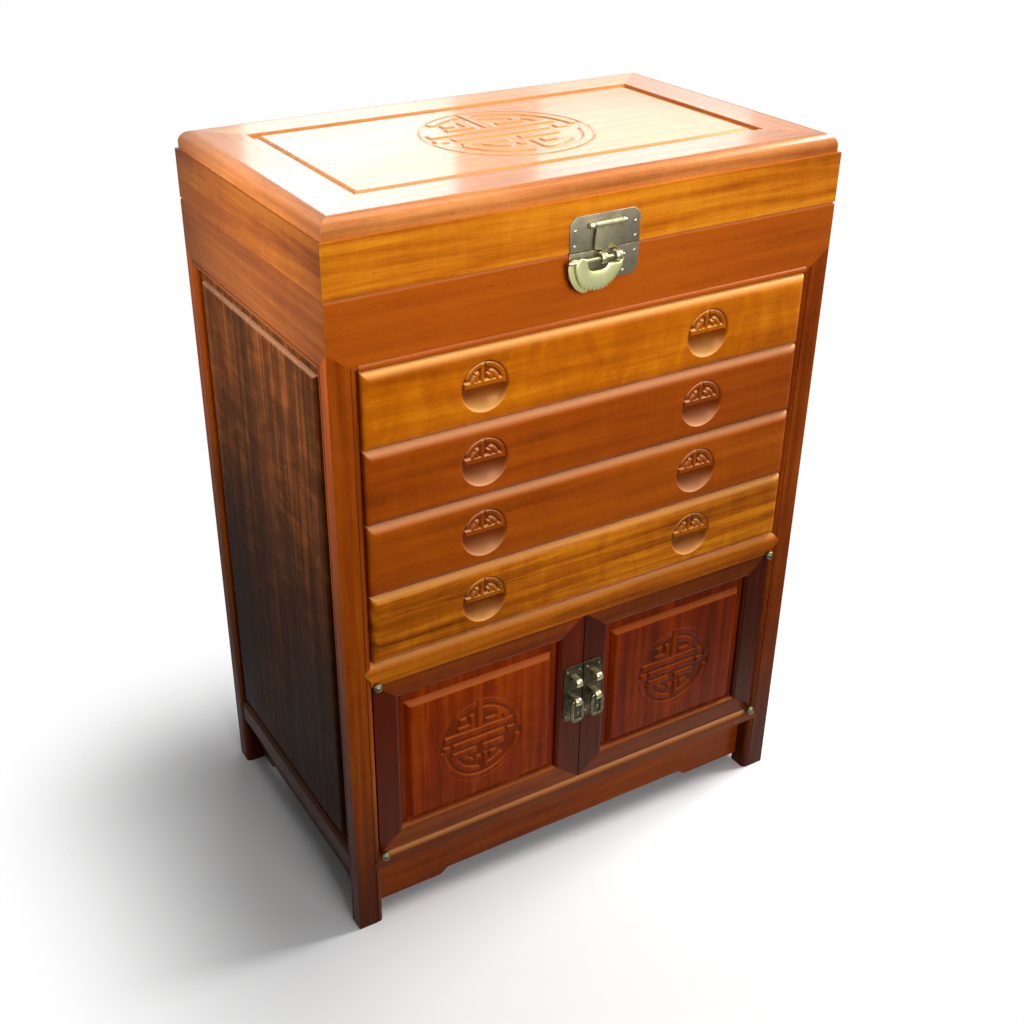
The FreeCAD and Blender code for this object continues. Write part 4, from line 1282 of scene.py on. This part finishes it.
@dataclass
class LockPlates:
    """The lid's plate and the case's plate with their nails, ears and staples."""

    nail: float = 1.6 * MM
    nail_height: float = 0.8 * MM
    sheet: float = 1.5 * MM
    cant: float = 6.5 * MM
    staple: Staple = Staple(reach=9.3 * MM, half_width=3.4 * MM, radius=3.8 * MM,
                            wire=1.35 * MM)
    staple_offset: float = 8.0 * MM
    staple_drop: float = 5.5 * MM
    hinge_rise: float = 24.0 * MM
    hinge_reach: float = 3.5 * MM
    ear_reach_mm: Sequence[float] = (14.8, 15.2, 16.4, 17.6, 18.3, 19.6, 20.4, 20.7)
    ear_radius_mm: Sequence[float] = (2.6, 3.0, 3.1, 3.0, 2.5, 2.3, 1.4, 0.2)
    ear_foot: float = 16.5 * MM
    ear_foot_size: tuple[float, float] = (1.6 * MM, 2.6 * MM)
    lid_nails_mm: Sequence[tuple[int, int]] = ((-33, 20), (33, 20), (-33, 6), (33, 6))
    case_nails_mm: Sequence[tuple[int, int]] = ((-33, -8), (33, -8), (-21, -25), (21, -25))

    def build(self) -> None:
        """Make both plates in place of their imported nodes, and what is fixed to them."""
        low, high = low_high("body_lock_plate")
        lid_low, lid_high = low_high("lid_lock_plate")
        seam = (high[2] + lid_low[2]) / 2
        back = high[1]
        front = back - self.sheet
        outline = self._outline(low[0], high[0], low[2], high[2], 1)
        case_plate = metal_piece("case_lock_plate", [bevelled_sheet(outline, front, back)],
                                 BRASS_PLATE, "carcass")
        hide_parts("body_lock_plate")
        outline = self._outline(lid_low[0], lid_high[0], lid_high[2], lid_low[2], -1)
        lid_plate = metal_piece("lid_lock_plate_sheet", [bevelled_sheet(outline, front, back)],
                                BRASS_PLATE, "lid")
        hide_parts("lid_lock_plate")
        metal_piece("lock_staples",
                    [self.staple.shape(self.staple_offset * hand, front, seam - self.staple_drop)
                     for hand in (-1, 1)], BRASS_CAST, "carcass")
        level = seam + self.hinge_rise
        axis = front - self.hinge_reach
        ears = []
        for hand in (-1, 1):
            ears.append(turned_rod(np.array(self.ear_reach_mm) * hand, self.ear_radius_mm, axis,
                                   level))
            foot = np.array([(self.ear_foot * hand, axis, level),
                             (self.ear_foot * hand, back, level)])
            ears.append(sweep(foot, (1, 0, 0), *self.ear_foot_size, turns=12, power=4.0))
        metal_piece("hasp_ears", ears, BRASS_CAST, "lid")
        for body, spots in (("lid", self.lid_nails_mm), ("carcass", self.case_nails_mm)):
            metal_piece(body + "_plate_nails",
                        [dome((x * MM, front, seam + z * MM), self.nail, self.nail_height)
                         for x, z in spots], BRASS_CAST, body)

    def _outline(self, left: float, right: float, cut: float, straight: float,
                 turn: int) -> Array:
        """Corners of a plate whose two corners at one end are cut off at a slant.

        Args:
            left: Left edge.
            right: Right edge.
            cut: Level of the end with cut corners.
            straight: Level of the other end.
            turn: One where the cut end is the lower one, minus one where it is the upper one.

        Returns:
            Corners as x and z, anticlockwise.
        """
        inward = self.cant * turn
        corners = np.array([(left + self.cant, cut), (right - self.cant, cut),
                            (right, cut + inward), (right, straight), (left, straight),
                            (left, cut + inward)])
        return corners[::turn]


@dataclass
class HingeNails:
    """Round nail heads that hold the lid's two hinges to the back."""

    radius: float = 2.0 * MM
    height: float = 0.9 * MM
    inset: float = 7.0 * MM
    leaf: float = 1.5 * MM
    slack: float = 0.1 * MM

    def build(self) -> None:
        """Set four nails in each leaf, clear of the knuckle."""
        for node_name, body, shares in (("lid_hinge_upper_leaves", "lid", (0.45, 0.8)),
                                        ("lid_hinge_lower_leaves", "carcass", (0.55, 0.2))):
            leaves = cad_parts[node_name]
            points = np.empty(len(leaves.data.vertices) * 3)
            leaves.data.vertices.foreach_get("co", points)
            points = points.reshape(-1, 3)
            heads = []
            for hand in (-1, 1):
                own = points[points[:, 0] * hand > 0]
                low, high = own.min(axis=0), own.max(axis=0)
                on_case = np.abs(own[:, 1] - low[1]) < self.slack
                face = own[on_case][:, 1].max() + self.leaf
                heads += [dome((x, face, low[2] + (high[2] - low[2]) * share), self.radius,
                               -self.height)
                          for share in shares for x in (low[0] + self.inset,
                                                        high[0] - self.inset)]
            metal_piece(node_name.replace("leaves", "nails"), heads, BRASS_CAST, body)


@dataclass
class Hasp:
    """The flared strap that turns on the lid's plate."""

    barrel_radius: float = 3.0 * MM
    chamfer: float = 2.0 * MM
    strap_front: float = 1.1 * MM
    strap_back: float = 0.8 * MM
    waist: tuple[float, float] = (1.2 * MM, 8.0 * MM)
    neck: float = 2.4 * MM
    barrel_mm: Sequence[float] = (-14.5, -14.4, -14.0, -13.0, 13.0, 14.0, 14.4, 14.5)
    barrel_sizes_mm: Sequence[float] = (2.2, 3.0, 3.4, 3.4, 3.4, 3.4, 3.0, 2.2)

    def build(self) -> None:
        """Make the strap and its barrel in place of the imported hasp."""
        low, high = low_high("hasp")
        half = high[0]
        axis = (low[1] + high[1]) / 2
        level = high[2] - self.barrel_radius
        right = [(half - self.chamfer, low[2]), (half, low[2] + self.chamfer),
                 (half - self.waist[0], level - self.waist[1]), (half - self.neck, level)]
        outline = np.array(right + [(-x, z) for x, z in right[::-1]])
        strap = bevelled_sheet(outline, axis - self.strap_front, axis + self.strap_back)
        made = metal_piece("hasp_strap", [strap], BRASS_STRAP, "hasp")
        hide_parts("hasp")
        barrel = turned_rod(self.barrel_mm, self.barrel_sizes_mm, axis, level, 24)
        metal_piece("hasp_barrel", [barrel], BRASS_CAST, "hasp")


@dataclass
class FishPadlock:
    """A cast padlock shaped like a fish: a round head, a ragged belly and a raised tail.

    The belly and the back hold the knots of two curves in millimetres, one pair for each place
    along the fish. The layer behind is the same head, moved by a small shift and cut short.
    """

    rings: int = 150
    teeth: float = 2.3 * MM
    tooth_pitch: float = 4.6 * MM
    belly: Sequence[tuple[float, float]] = (
        (-32.6, 715.2), (-37.2, 713.2), (-38.9, 707.5), (-37.4, 699.5), (-33.6, 691.2),
        (-27.4, 685.0), (-18.5, 682.3), (-9, 682.3), (-1.5, 685.6), (4, 690.8), (8.4, 696.2),
        (12.2, 701.4), (12.6, 703.6))
    back: Sequence[tuple[float, float]] = (
        (-31.8, 715.2), (-27.6, 713.4), (-25.8, 708.5), (-24.6, 704.5), (-21.4, 702),
        (-17, 701.2), (-12, 701.3), (-7.2, 702.4), (-4.4, 704.4), (-3, 706.2), (0, 706.6),
        (5, 706.0), (9.5, 705.6))
    horn: Sequence[tuple[float, float]] = ((10, 703), (12.2, 706), (13.1, 709), (13, 713))
    horn_size: tuple[float, float] = (2.3 * MM, 1.7 * MM)
    horn_rings: int = 14
    horn_setback: float = 0.3 * MM
    shift: tuple[float, float] = (-5.6, -1.0)
    head_knots: int = 7
    head_ends: tuple[tuple[int, int], tuple[int, int]] = ((-10, 690), (-8, 700))
    teeth_share: tuple[float, float] = (0.36, 0.74)
    teeth_rise: tuple[float, float] = (16.0, 12.0)
    front_half: float = 1.5 * MM
    back_half: float = 1.0 * MM
    bar_mm: Sequence[float] = (-45.5, -45.2, -44.2, 14.2, 14.9, 15.2)
    bar_sizes_mm: Sequence[float] = (0.6, 1.5, 2.0, 2.0, 1.5, 0.6)

    def build(self) -> None:
        """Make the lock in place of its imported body, and the bar that it hangs on."""
        low, high = low_high("padlock_body")
        front, back = low[1] + self.front_half, high[1] - self.back_half
        head, neck = (np.array(knots[:self.head_knots]) + self.shift
                      for knots in (self.belly, self.back))
        horn = smooth_curve(self.horn, self.horn_rings) * MM
        path = np.insert(horn, 1, (front + back) / 2 + self.horn_setback, axis=1)
        parts = [self._layer(self.belly, self.back, front, self.front_half, True),
                 self._layer([*head, self.head_ends[0]], [*neck, self.head_ends[1]], back,
                             self.back_half, False),
                 sweep(path, (0, 1, 0), *self.horn_size, turns=16, power=2.6)]
        made = metal_piece("fish_padlock", parts, BRASS_FISH, "padlock")
        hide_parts("padlock_body")
        middle = np.mean(low_high("padlock_bar"), axis=0)
        rod = turned_rod(self.bar_mm, self.bar_sizes_mm, middle[1], middle[2])
        bar = metal_piece("lock_bar", [rod], BRASS_CAST, "padlock_bar")
        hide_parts("padlock_bar")

    def _layer(self, outer: Sequence[Sequence[float]], inner: Sequence[Sequence[float]],
               place: float, thick: float, ragged: bool) -> Shape:
        """Fill the band between two curves with a rounded casting.

        Args:
            outer: Knots of the belly's curve in millimetres.
            inner: Knots of the back's curve in millimetres, one for each of the outer ones.
            place: Place of the layer's middle along Y.
            thick: Half of its thickness.
            ragged: Whether the belly is notched like scales.

        Returns:
            The layer.
        """
        belly = smooth_curve(outer, self.rings) * MM
        back = smooth_curve(inner, self.rings) * MM
        if ragged:
            steps = np.linalg.norm(np.diff(belly, axis=0), axis=1)
            along = np.concatenate([[0], np.cumsum(steps)])
            share = np.linspace(0, 1, self.rings)
            first, last = self.teeth_share
            zone = (np.clip((share - first) * self.teeth_rise[0], 0, 1)
                    * np.clip((last - share) * self.teeth_rise[1], 0, 1))
            notch = np.mod(along / self.tooth_pitch, 1.0)
            run = belly - back
            run = run / np.linalg.norm(run, axis=1, keepdims=True)
            belly = belly - run * (self.teeth * notch * zone)[:, None]
        run = belly - back
        half = np.linalg.norm(run, axis=1) / 2
        return sweep(np.insert((belly + back) / 2, 1, place, axis=1),
                     np.insert(run, 1, 0.0, axis=1), half, np.minimum(thick, half * 0.9),
                     turns=28, power=2.5, over=(0.0, 1.0, 0.0))


@dataclass
class DoorFittings:
    """Each door's half plate with two fat staples, and the drop pull in the lower one."""

    sheet: float = 1.5 * MM
    corner: float = 6.0 * MM
    cusp: float = 1.2 * MM
    staple: Staple = Staple(reach=9.5 * MM, half_width=3.9 * MM, radius=3.7 * MM,
                            wire=1.5 * MM)
    staple_x: float = 13.0 * MM
    staple_levels: tuple[float, float] = (237.0 * MM, 212.0 * MM)
    nail_levels_mm: tuple[int, int] = (187, 246)
    nail_reach_mm: tuple[float, float] = (20.5, 5)
    nail: float = 1.3 * MM
    nail_height: float = 0.7 * MM
    ring_points: int = 72
    ring_half_width: float = 1.9 * MM
    ring_half_depth: float = 2.2 * MM
    ring_power: float = 0.42
    ring_inset: float = 2.0 * MM

    def build(self) -> None:
        """Make plates, staples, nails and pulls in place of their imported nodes."""
        for hand, side in ((-1, "left"), (1, "right")):
            low, high = low_high(side + "_door_plate")
            front = high[1] - self.sheet
            body = side + "_door"
            plate = bevelled_sheet(self._outline(low, high, hand), front, high[1])
            made = metal_piece(side + "_door_half_plate", [plate], BRASS_DARK, body)
            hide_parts(side + "_door_plate")
            metal_piece(side + "_door_staples",
                        [self.staple.shape(self.staple_x * hand, front, level)
                         for level in self.staple_levels], BRASS_CAST, body)
            metal_piece(side + "_door_plate_nails",
                        [dome((x * hand * MM, front, z * MM), self.nail, self.nail_height)
                         for x in self.nail_reach_mm for z in self.nail_levels_mm],
                        BRASS_PLATE, body)
            self._pull(side)

    def _outline(self, low: Array, high: Array, hand: int) -> Array:
        """Corners of a half plate, round and cusped at its two outer corners.

        Args:
            low: Low corner of the plate.
            high: High corner of the plate.
            hand: One for the right door's plate, minus one for the left one's.

        Returns:
            Corners as x and z, anticlockwise.
        """
        near, far = (low[0], high[0]) if hand > 0 else (-high[0], -low[0])
        turn = np.linspace(0, QUARTER, 9)
        x = far - self.corner * (1 - np.cos(turn))
        z = self.corner * (1 - np.sin(turn))
        inner = far - self.corner - self.cusp
        ends = [(inner, high[2]), (near, high[2]), (near, low[2]), (inner, low[2])]
        half = np.concatenate([np.stack([x, high[2] - z], axis=-1), ends,
                               np.stack([x, low[2] + z], axis=-1)[::-1]])
        return half if hand > 0 else half[::-1] * np.array((-1.0, 1.0))

    def _pull(self, side: str) -> None:
        """Make a drop pull: a rounded oblong ring of flat wire.

        Args:
            side: The door that it hangs on, left or right.
        """
        low, high = low_high(side + "_drop_pull")
        middle = (low + high) / 2
        half = (high - low) / 2
        cosine, sine = superellipse(self.ring_points, self.ring_power)
        path = middle + np.stack([cosine * (half[0] - self.ring_inset), np.zeros(self.ring_points),
                                  sine * (half[2] - self.ring_half_width)], axis=-1)
        ring = sweep(path, (0, 1, 0), self.ring_half_width, self.ring_half_depth, turns=14,
                     power=2.4, closed=True)
        made = metal_piece(side + "_ring_pull", [ring], BRASS_RING, side + "_pull")
        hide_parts(side + "_drop_pull")


def wood(name: str, grain: Grain, seed: float, shades: str = "C9770F A85408 7A3405",
         **changes: float | str) -> LacqueredRosewood:
    """Name a variant of the wood, amber unless its shades say otherwise.

    Args:
        name: Name of the material.
        grain: The axis that the fibres run along.
        seed: What sets its figure apart from that of other boards.
        shades: Its pale, middle and dark colour.
        **changes: Other fields of the finish.

    Returns:
        The recipe.
    """
    pale, middle, dark = shades.split()
    return LacqueredRosewood(name, pale, middle, dark, grain, seed, **changes)


def russet(name: str, grain: Grain, seed: float, shades: str = "9C4A0C 7C2E08 4F1A08",
           specular: float = 0.14, **changes: float | str) -> LacqueredRosewood:
    """Name a darker, duller red variant for the doors, posts and sides."""
    return wood("russet_rosewood_" + name, grain, seed, shades, specular=specular, **changes)


ALONG_X, ALONG_Y, ALONG_Z = Grain
# Door wood: the paler edge colours are painted highlights on edges that face upward, and the carved
# ground's dark colour is painted shade with some dirt.
DOOR_PANEL = russet("left_panel", ALONG_Z, 3.1, "AE4604 8E2E03 6A2002", sunk_dark="6C2604",
                    rubbed="AC5A2C", contrast=1.25, coat=0.0, reflection="FF9448")
DOOR_FRAME = MitredRosewood("mitred_rosewood_left_frame", "701E05", "581804", "3C1003", ALONG_Z,
                            5.2, rubbed="A85C30")
# Right door frame: a darker copy of the left one, painted shade of light falling off to the right.
DOOR_FRAME_RIGHT = replace(DOOR_FRAME, name="mitred_rosewood_right_frame", seed=6.9,
                           pale="581804", middle="461404", dark="300C03",
                           rail_pale="8A3E0E", rail_middle="72300A", rail_dark="502006")
TOP_SHADES = "D08644 BA6C2C 985018"
# Front rail and bead: the paler edge colour is a painted highlight.
FRONT_RAIL = wood("brown_rosewood_front_rail", ALONG_X, 2.2, "B65C14 AA500E 8C3C0A",
                  contrast=0.6, ribbon=0.2, rubbed="B86E44")
RAIL_BEAD = replace(FRONT_RAIL, name="brown_rosewood_bead", rubbed="A86040")
BY_NODE: dict[str, LacqueredRosewood] = {
    # Lid panel: the carved ground's colour is painted shade with some dirt.
    "lid_panel": wood("amber_rosewood_lid_panel", ALONG_X, 8.3, "DE9650 CC8038 B06826",
                      specular=0.5, coat=0.5, coat_roughness=0.1, sunk_dark="C88848",
                      reflection="FFD8B0", contrast=0.8),
    "lid_front_board": wood("amber_rosewood_lid_front", ALONG_X, 2.4, "DC8A1C C46C12 96460A",
                            contrast=1.2),
    "lid_rear_board": wood("amber_rosewood_lid_rear", ALONG_X, 4.4),
    # Left lid board: a darker copy of the lid boards' wood, painted shade of the shaded left side.
    "lid_left_board": wood("amber_rosewood_lid_left", ALONG_Y, 6.1, "A8641E 8C4812 662C0A"),
    "lid_right_board": wood("amber_rosewood_lid_right", ALONG_Y, 9.1, "D07C1C B8620E 8A4208"),
    "front_top_rail": FRONT_RAIL,
    "rear_top_rail": russet("rear_rail", ALONG_X, 2.9),
    # Left top rail: a darker copy of the side rails' wood, painted shade of the shaded left side.
    "left_top_rail": wood("brown_rosewood_left_rail", ALONG_Y, 3.7, "905420 7C3E12 582608",
                          contrast=0.8),
    "right_top_rail": wood("brown_rosewood_right_rail", ALONG_Y, 4.1, "A8581A 94480E 6C3008",
                           contrast=0.8),
    # Mid rail: the paler edge colour is a painted highlight.
    "mid_rail": wood("brown_rosewood_mid_rail", ALONG_X, 6.6, "D07812 B05A0C 7E3808",
                     rubbed="DC9454"),
    # Bottom rail: the paler edge colour is a painted highlight, and the darkening toward the floor
    # is grime and painted shade.
    "front_bottom_rail": wood("brown_rosewood_bottom_rail", ALONG_X, 7.2,
                              "984C10 7C360A 562208", rubbed="B87848", foot_grime=0.3),
    # Front apron: darkens toward the floor by grime and painted shade.
    "front_apron": russet("apron", ALONG_X, 8.2, "C25C12 A8480C 7A3208", foot_grime=0.2),
    "side_aprons": russet("side_aprons", ALONG_Y, 8.8, "5A2A14 47200F 331409"),
    "rear_bottom_rail": russet("rear_bottom", ALONG_X, 9.4),
    "back_panel": russet("back", ALONG_Z, 9.9, "7C3C14 642C0E 48200A"),
    "left_door_panel": DOOR_PANEL,
    # Right door panel: a darker copy of the left one, painted shade of light falling off to the
    # right.
    # Right door panel: the paler edge colour is a painted highlight, and the carved ground's dark
    # colour is painted shade with some dirt.
    "right_door_panel": replace(DOOR_PANEL, name="russet_rosewood_right_panel", seed=4.7,
                                pale="983804", middle="7A2603", dark="561A02",
                                sunk_dark="501C03", rubbed="94481E"),
    **{f"top_{side}_member": wood("amber_rosewood_top_" + side, grain, seed, shades,
                                  specular=0.45, coat=0.6, reflection="FFD0A4")
       for side, grain, seed, shades in (
           ("front", ALONG_X, 1.1, TOP_SHADES), ("rear", ALONG_X, 3.3, "E2A468 D08C4E AC6E36"),
           ("left", ALONG_Y, 5.5, TOP_SHADES), ("right", ALONG_Y, 7.7, TOP_SHADES))},
    # Drawer fronts: the paler edge colours are painted highlights, and the carved pulls' dark
    # colour is painted shade with some dirt.
    **{f"drawer_{number}_front": wood(f"amber_rosewood_{number}", ALONG_X, number * 1.7, shades,
                                      sunk_dark="5C220A", rubbed=rubbed, streak_mm=streak_mm,
                                      contrast=contrast, ribbon=ribbon)
       for number, shades, rubbed, streak_mm, contrast, ribbon in (
           (1, "DA8414 AE5A09 783A08", "E8A45C", 9.0, 1.4, 0.4),
           (2, "B65C10 A04A08 803406", "D89868", 14.0, 0.8, 0.4),
           (3, "B2560E 9A4408 783006", "E0A070", 14.0, 0.8, 0.4),
           (4, "DC8A16 BE6408 984806", "F4B468", 14.0, 0.8, 0.9))},
}
BY_ENDING: dict[tuple[str, ...], Recipe] = {
    ("_box", "drawer_runners"): DRAWER_BOARD,
    ("well_floor", "drawer_dust_panel", "cupboard_floor"): INNER_BOARD,
    ("door_plate",): BRASS_DARK,
    ("plate", "leaves"): BRASS_PLATE,
    ("drop_pull", "pivots"): BRASS_RING,
    ("hasp", "padlock_body", "padlock_bar"): BRASS_CAST,
}


def recipe_of(name: str) -> Recipe:
    """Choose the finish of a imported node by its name.

    Args:
        name: Name of the node.

    Returns:
        The recipe.
    """
    if name in BY_NODE:
        return BY_NODE[name]
    for endings, recipe in BY_ENDING.items():
        if name.endswith(endings):
            return recipe
    if "door" in name:
        return DOOR_FRAME_RIGHT if name.startswith("right") else DOOR_FRAME
    seed = 1.0 + len(name) * 0.7 + (3.3 if "left" in name else 0.0)
    if "side_panel" in name:
        # Side panels: the paler edge colour is a painted highlight.
        return russet(name, ALONG_Z, seed, "7E4620 4C2810 2C1608", specular=0.02, contrast=0.9,
                      ribbon=0.9, coat=0.0, rubbed="94684C")
    if "bottom_rail" in name:
        return russet(name, ALONG_Y, seed, "6E3416 54240E 3C180A")
    # Front right post: darker shades than the other posts, painted shade of light falling off to
    # the right.
    shades = "A04E0C 843606 5E2405" if name == "front_right_post" else "B05A10 964208 6E2C06"
    # Posts: darken toward the floor by grime and painted shade.
    return russet(name, ALONG_Z, seed, shades, foot_grime=0.75)


def dress_case() -> None:
    """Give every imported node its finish."""
    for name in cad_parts:
        FINISHES.dress(name, recipe_of(name))
        LOG.info("dressed %s in %s", name, recipe_of(name).name)


@dataclass
class PhotoCamera:
    """The camera solved from the photograph's own straight edges, in the frame's metres."""

    place: tuple[float, float, float] = (-0.6974, -1.1410, 1.1157)
    azimuth_degrees: float = 30.16
    elevation_degrees: float = 29.91
    focal_pixels: float = 1354.8
    centre_pixels: tuple[float, float] = (478.06, 520.29)
    image_pixels: float = 1024.0
    sensor_mm: float = 36.0

    def build(self) -> None:
        """Make the camera and set it as the scene's own."""
        data = bpy.data.cameras.new("photo_camera")
        data.sensor_width = self.sensor_mm
        data.lens = self.focal_pixels * self.sensor_mm / self.image_pixels
        data.shift_x = (self.image_pixels / 2 - self.centre_pixels[0]) / self.image_pixels
        data.shift_y = (self.centre_pixels[1] - self.image_pixels / 2) / self.image_pixels
        data.clip_start = 0.01
        camera = placed("photo_camera", data)
        camera.location = self.place
        camera.rotation_euler = (math.radians(90 - self.elevation_degrees), 0.0,
                                 math.radians(-self.azimuth_degrees))
        bpy.context.scene.camera = camera


@dataclass
class PaleFloor:
    """A pale floor that keeps the shadow and melts into the white round it.

    The floor is opaque near the cabinet and turns clear by a smooth step of the distance from
    the cabinet's footprint, whose centre is moved a little toward the shadow. Light that
    bounces from it on to the wood is toned down.
    """

    size: float = 3.0
    centre: tuple[float, float, float] = (-0.025, -0.06, 0.0)
    fade: tuple[float, float] = (0.02, 0.31)
    shade: str = "F6F6F6"
    bounced_shade: str = "706C6A"

    def build(self) -> None:
        """Lay the floor."""
        mesh = bpy.data.meshes.new("pale_floor")
        mesh.from_pydata([(x * self.size, y * self.size, 0)
                          for x, y in ((-1, -1), (1, -1), (1, 1), (-1, 1))], [], [(0, 1, 2, 3)])
        floor = placed("pale_floor", mesh)
        material, tree = empty_material("pale_paper")
        bounced = node(tree, "LightPath", output="Is Diffuse Ray")
        tone = node(tree, "MixRGB", {"Color1": srgb(self.shade),
                                     "Color2": srgb(self.bounced_shade), "Fac": bounced})
        place = place_of(tree)
        for operation, other in (("SUBTRACT", self.centre), ("ABSOLUTE", None),
                                 ("SUBTRACT", CAD_BOX[1]), ("MAXIMUM", None)):
            values = {"operation": operation, 0: place}
            if other is not None:
                values[1] = other
            place = node(tree, "VectorMath", values)
        away = node(tree, "VectorMath", {"operation": "LENGTH", 0: place}, "Value")
        clear = map_range(tree, away, self.fade, smooth=True)
        end_tree(tree, node(tree, "MixShader", {0: clear,
                                                1: node(tree, "BsdfDiffuse", {"Color": tone}),
                                                2: node(tree, "BsdfTransparent")}))
        mesh.materials.append(material)


@dataclass(frozen=True)
class PanelLight:
    """A soft rectangular lamp that stands at a place and faces an aim, in metres."""

    name: str
    place: tuple[float, float, float]
    aim: tuple[float, float, float]
    size: tuple[float, float]
    watts: float
    spread_degrees: float = 180.0

    def build(self) -> None:
        """Hang the lamp where the camera does not see it."""
        data = bpy.data.lights.new(self.name, "AREA")
        data.shape = "RECTANGLE"
        data.size, data.size_y = self.size
        data.energy = self.watts
        data.spread = math.radians(self.spread_degrees)
        lamp = placed(self.name, data)
        lamp.location = self.place
        east, north, up = np.array(self.aim) - np.array(self.place)
        pitch = math.atan2(up, math.hypot(east, north))
        lamp.rotation_euler = (math.radians(90) + pitch, 0.0, -math.atan2(east, north))
        lamp.visible_camera = False


LAMPS = (
    PanelLight("front_window", (-0.12, -1.6, 1.25), (-0.02, -0.17, 0.78), (0.8, 0.8),
               watts=3.6, spread_degrees=60.0),
    PanelLight("right_window", (1.5, -0.22, 1.6), (0.0, 0.0, 0.3), (0.7, 0.7), watts=47.0),
    PanelLight("top_softbox", (0.1, -0.3, 2.3), (0.0, 0.0, 0.7), (1.3, 1.3), watts=11.5),
    PanelLight("left_softbox", (-0.8, -0.02, 0.85), (-0.28, -0.02, 0.66), (0.3, 0.3),
               watts=0.98, spread_degrees=54.0),
    PanelLight("rear_window_left", (0.9, 2.3, 1.74), (0.0, 0.0, 0.75), (0.6, 0.8), watts=5.0),
    PanelLight("rear_window_right", (1.62, 1.94, 1.74), (0.0, 0.0, 0.75), (0.6, 0.8), watts=3.4),
)


@dataclass
class WhiteRoom:
    """A room that is white above the horizon and dim below it, and white to the camera.

    Each pair of strengths holds for below and above the horizon.
    """

    horizon: tuple[float, float] = (-0.02, 0.22)
    wall_strength: tuple[float, float] = (0.03, 0.12)
    mirror_strength: tuple[float, float] = (0.25, 0.8)

    def build(self) -> None:
        """Set the world and the plain view of its colours."""
        scene = bpy.context.scene
        scene.view_settings.view_transform = "Standard"
        scene.world = bpy.data.worlds.new("white_room")
        scene.world.use_nodes = True
        tree = scene.world.node_tree
        tree.nodes.clear()
        shiny = calculate(tree, "MAXIMUM", node(tree, "LightPath", output="Is Glossy Ray"),
                          node(tree, "LightPath", output="Is Transmission Ray"))
        way = node(tree, "TexCoord", output="Generated")
        above = map_range(tree, node(tree, "SeparateXYZ", {0: way}, "Z"), self.horizon,
                          smooth=True)
        walls = map_range(tree, above, (0.0, 1.0), self.wall_strength)
        mirror = map_range(tree, above, (0.0, 1.0), self.mirror_strength)
        lit = node(tree, "Mix", {"data_type": "FLOAT", 0: shiny, 2: walls, 3: mirror})
        seen = node(tree, "LightPath", output="Is Camera Ray")
        strength = node(tree, "Mix", {"data_type": "FLOAT", 0: seen, 2: lit, 3: 1.0})
        light = node(tree, "Background", {"Color": srgb("FFFFFF"), "Strength": strength})
        end_tree(tree, light, "OutputWorld")


def main() -> None:
    """Dress the frame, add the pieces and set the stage."""
    logging.basicConfig(level=logging.INFO, format="%(message)s")
    dress_case()
    for part in (DrawerFronts(), *side_panels(), RailBead(), *door_panels(), lid_panel(),
                 LockPlates(), HingeNails(), Hasp(), FishPadlock(), DoorFittings(), PaleFloor(),
                 WhiteRoom(), *LAMPS, PhotoCamera()):
        part.build()


if __name__ == "__main__":
    main()
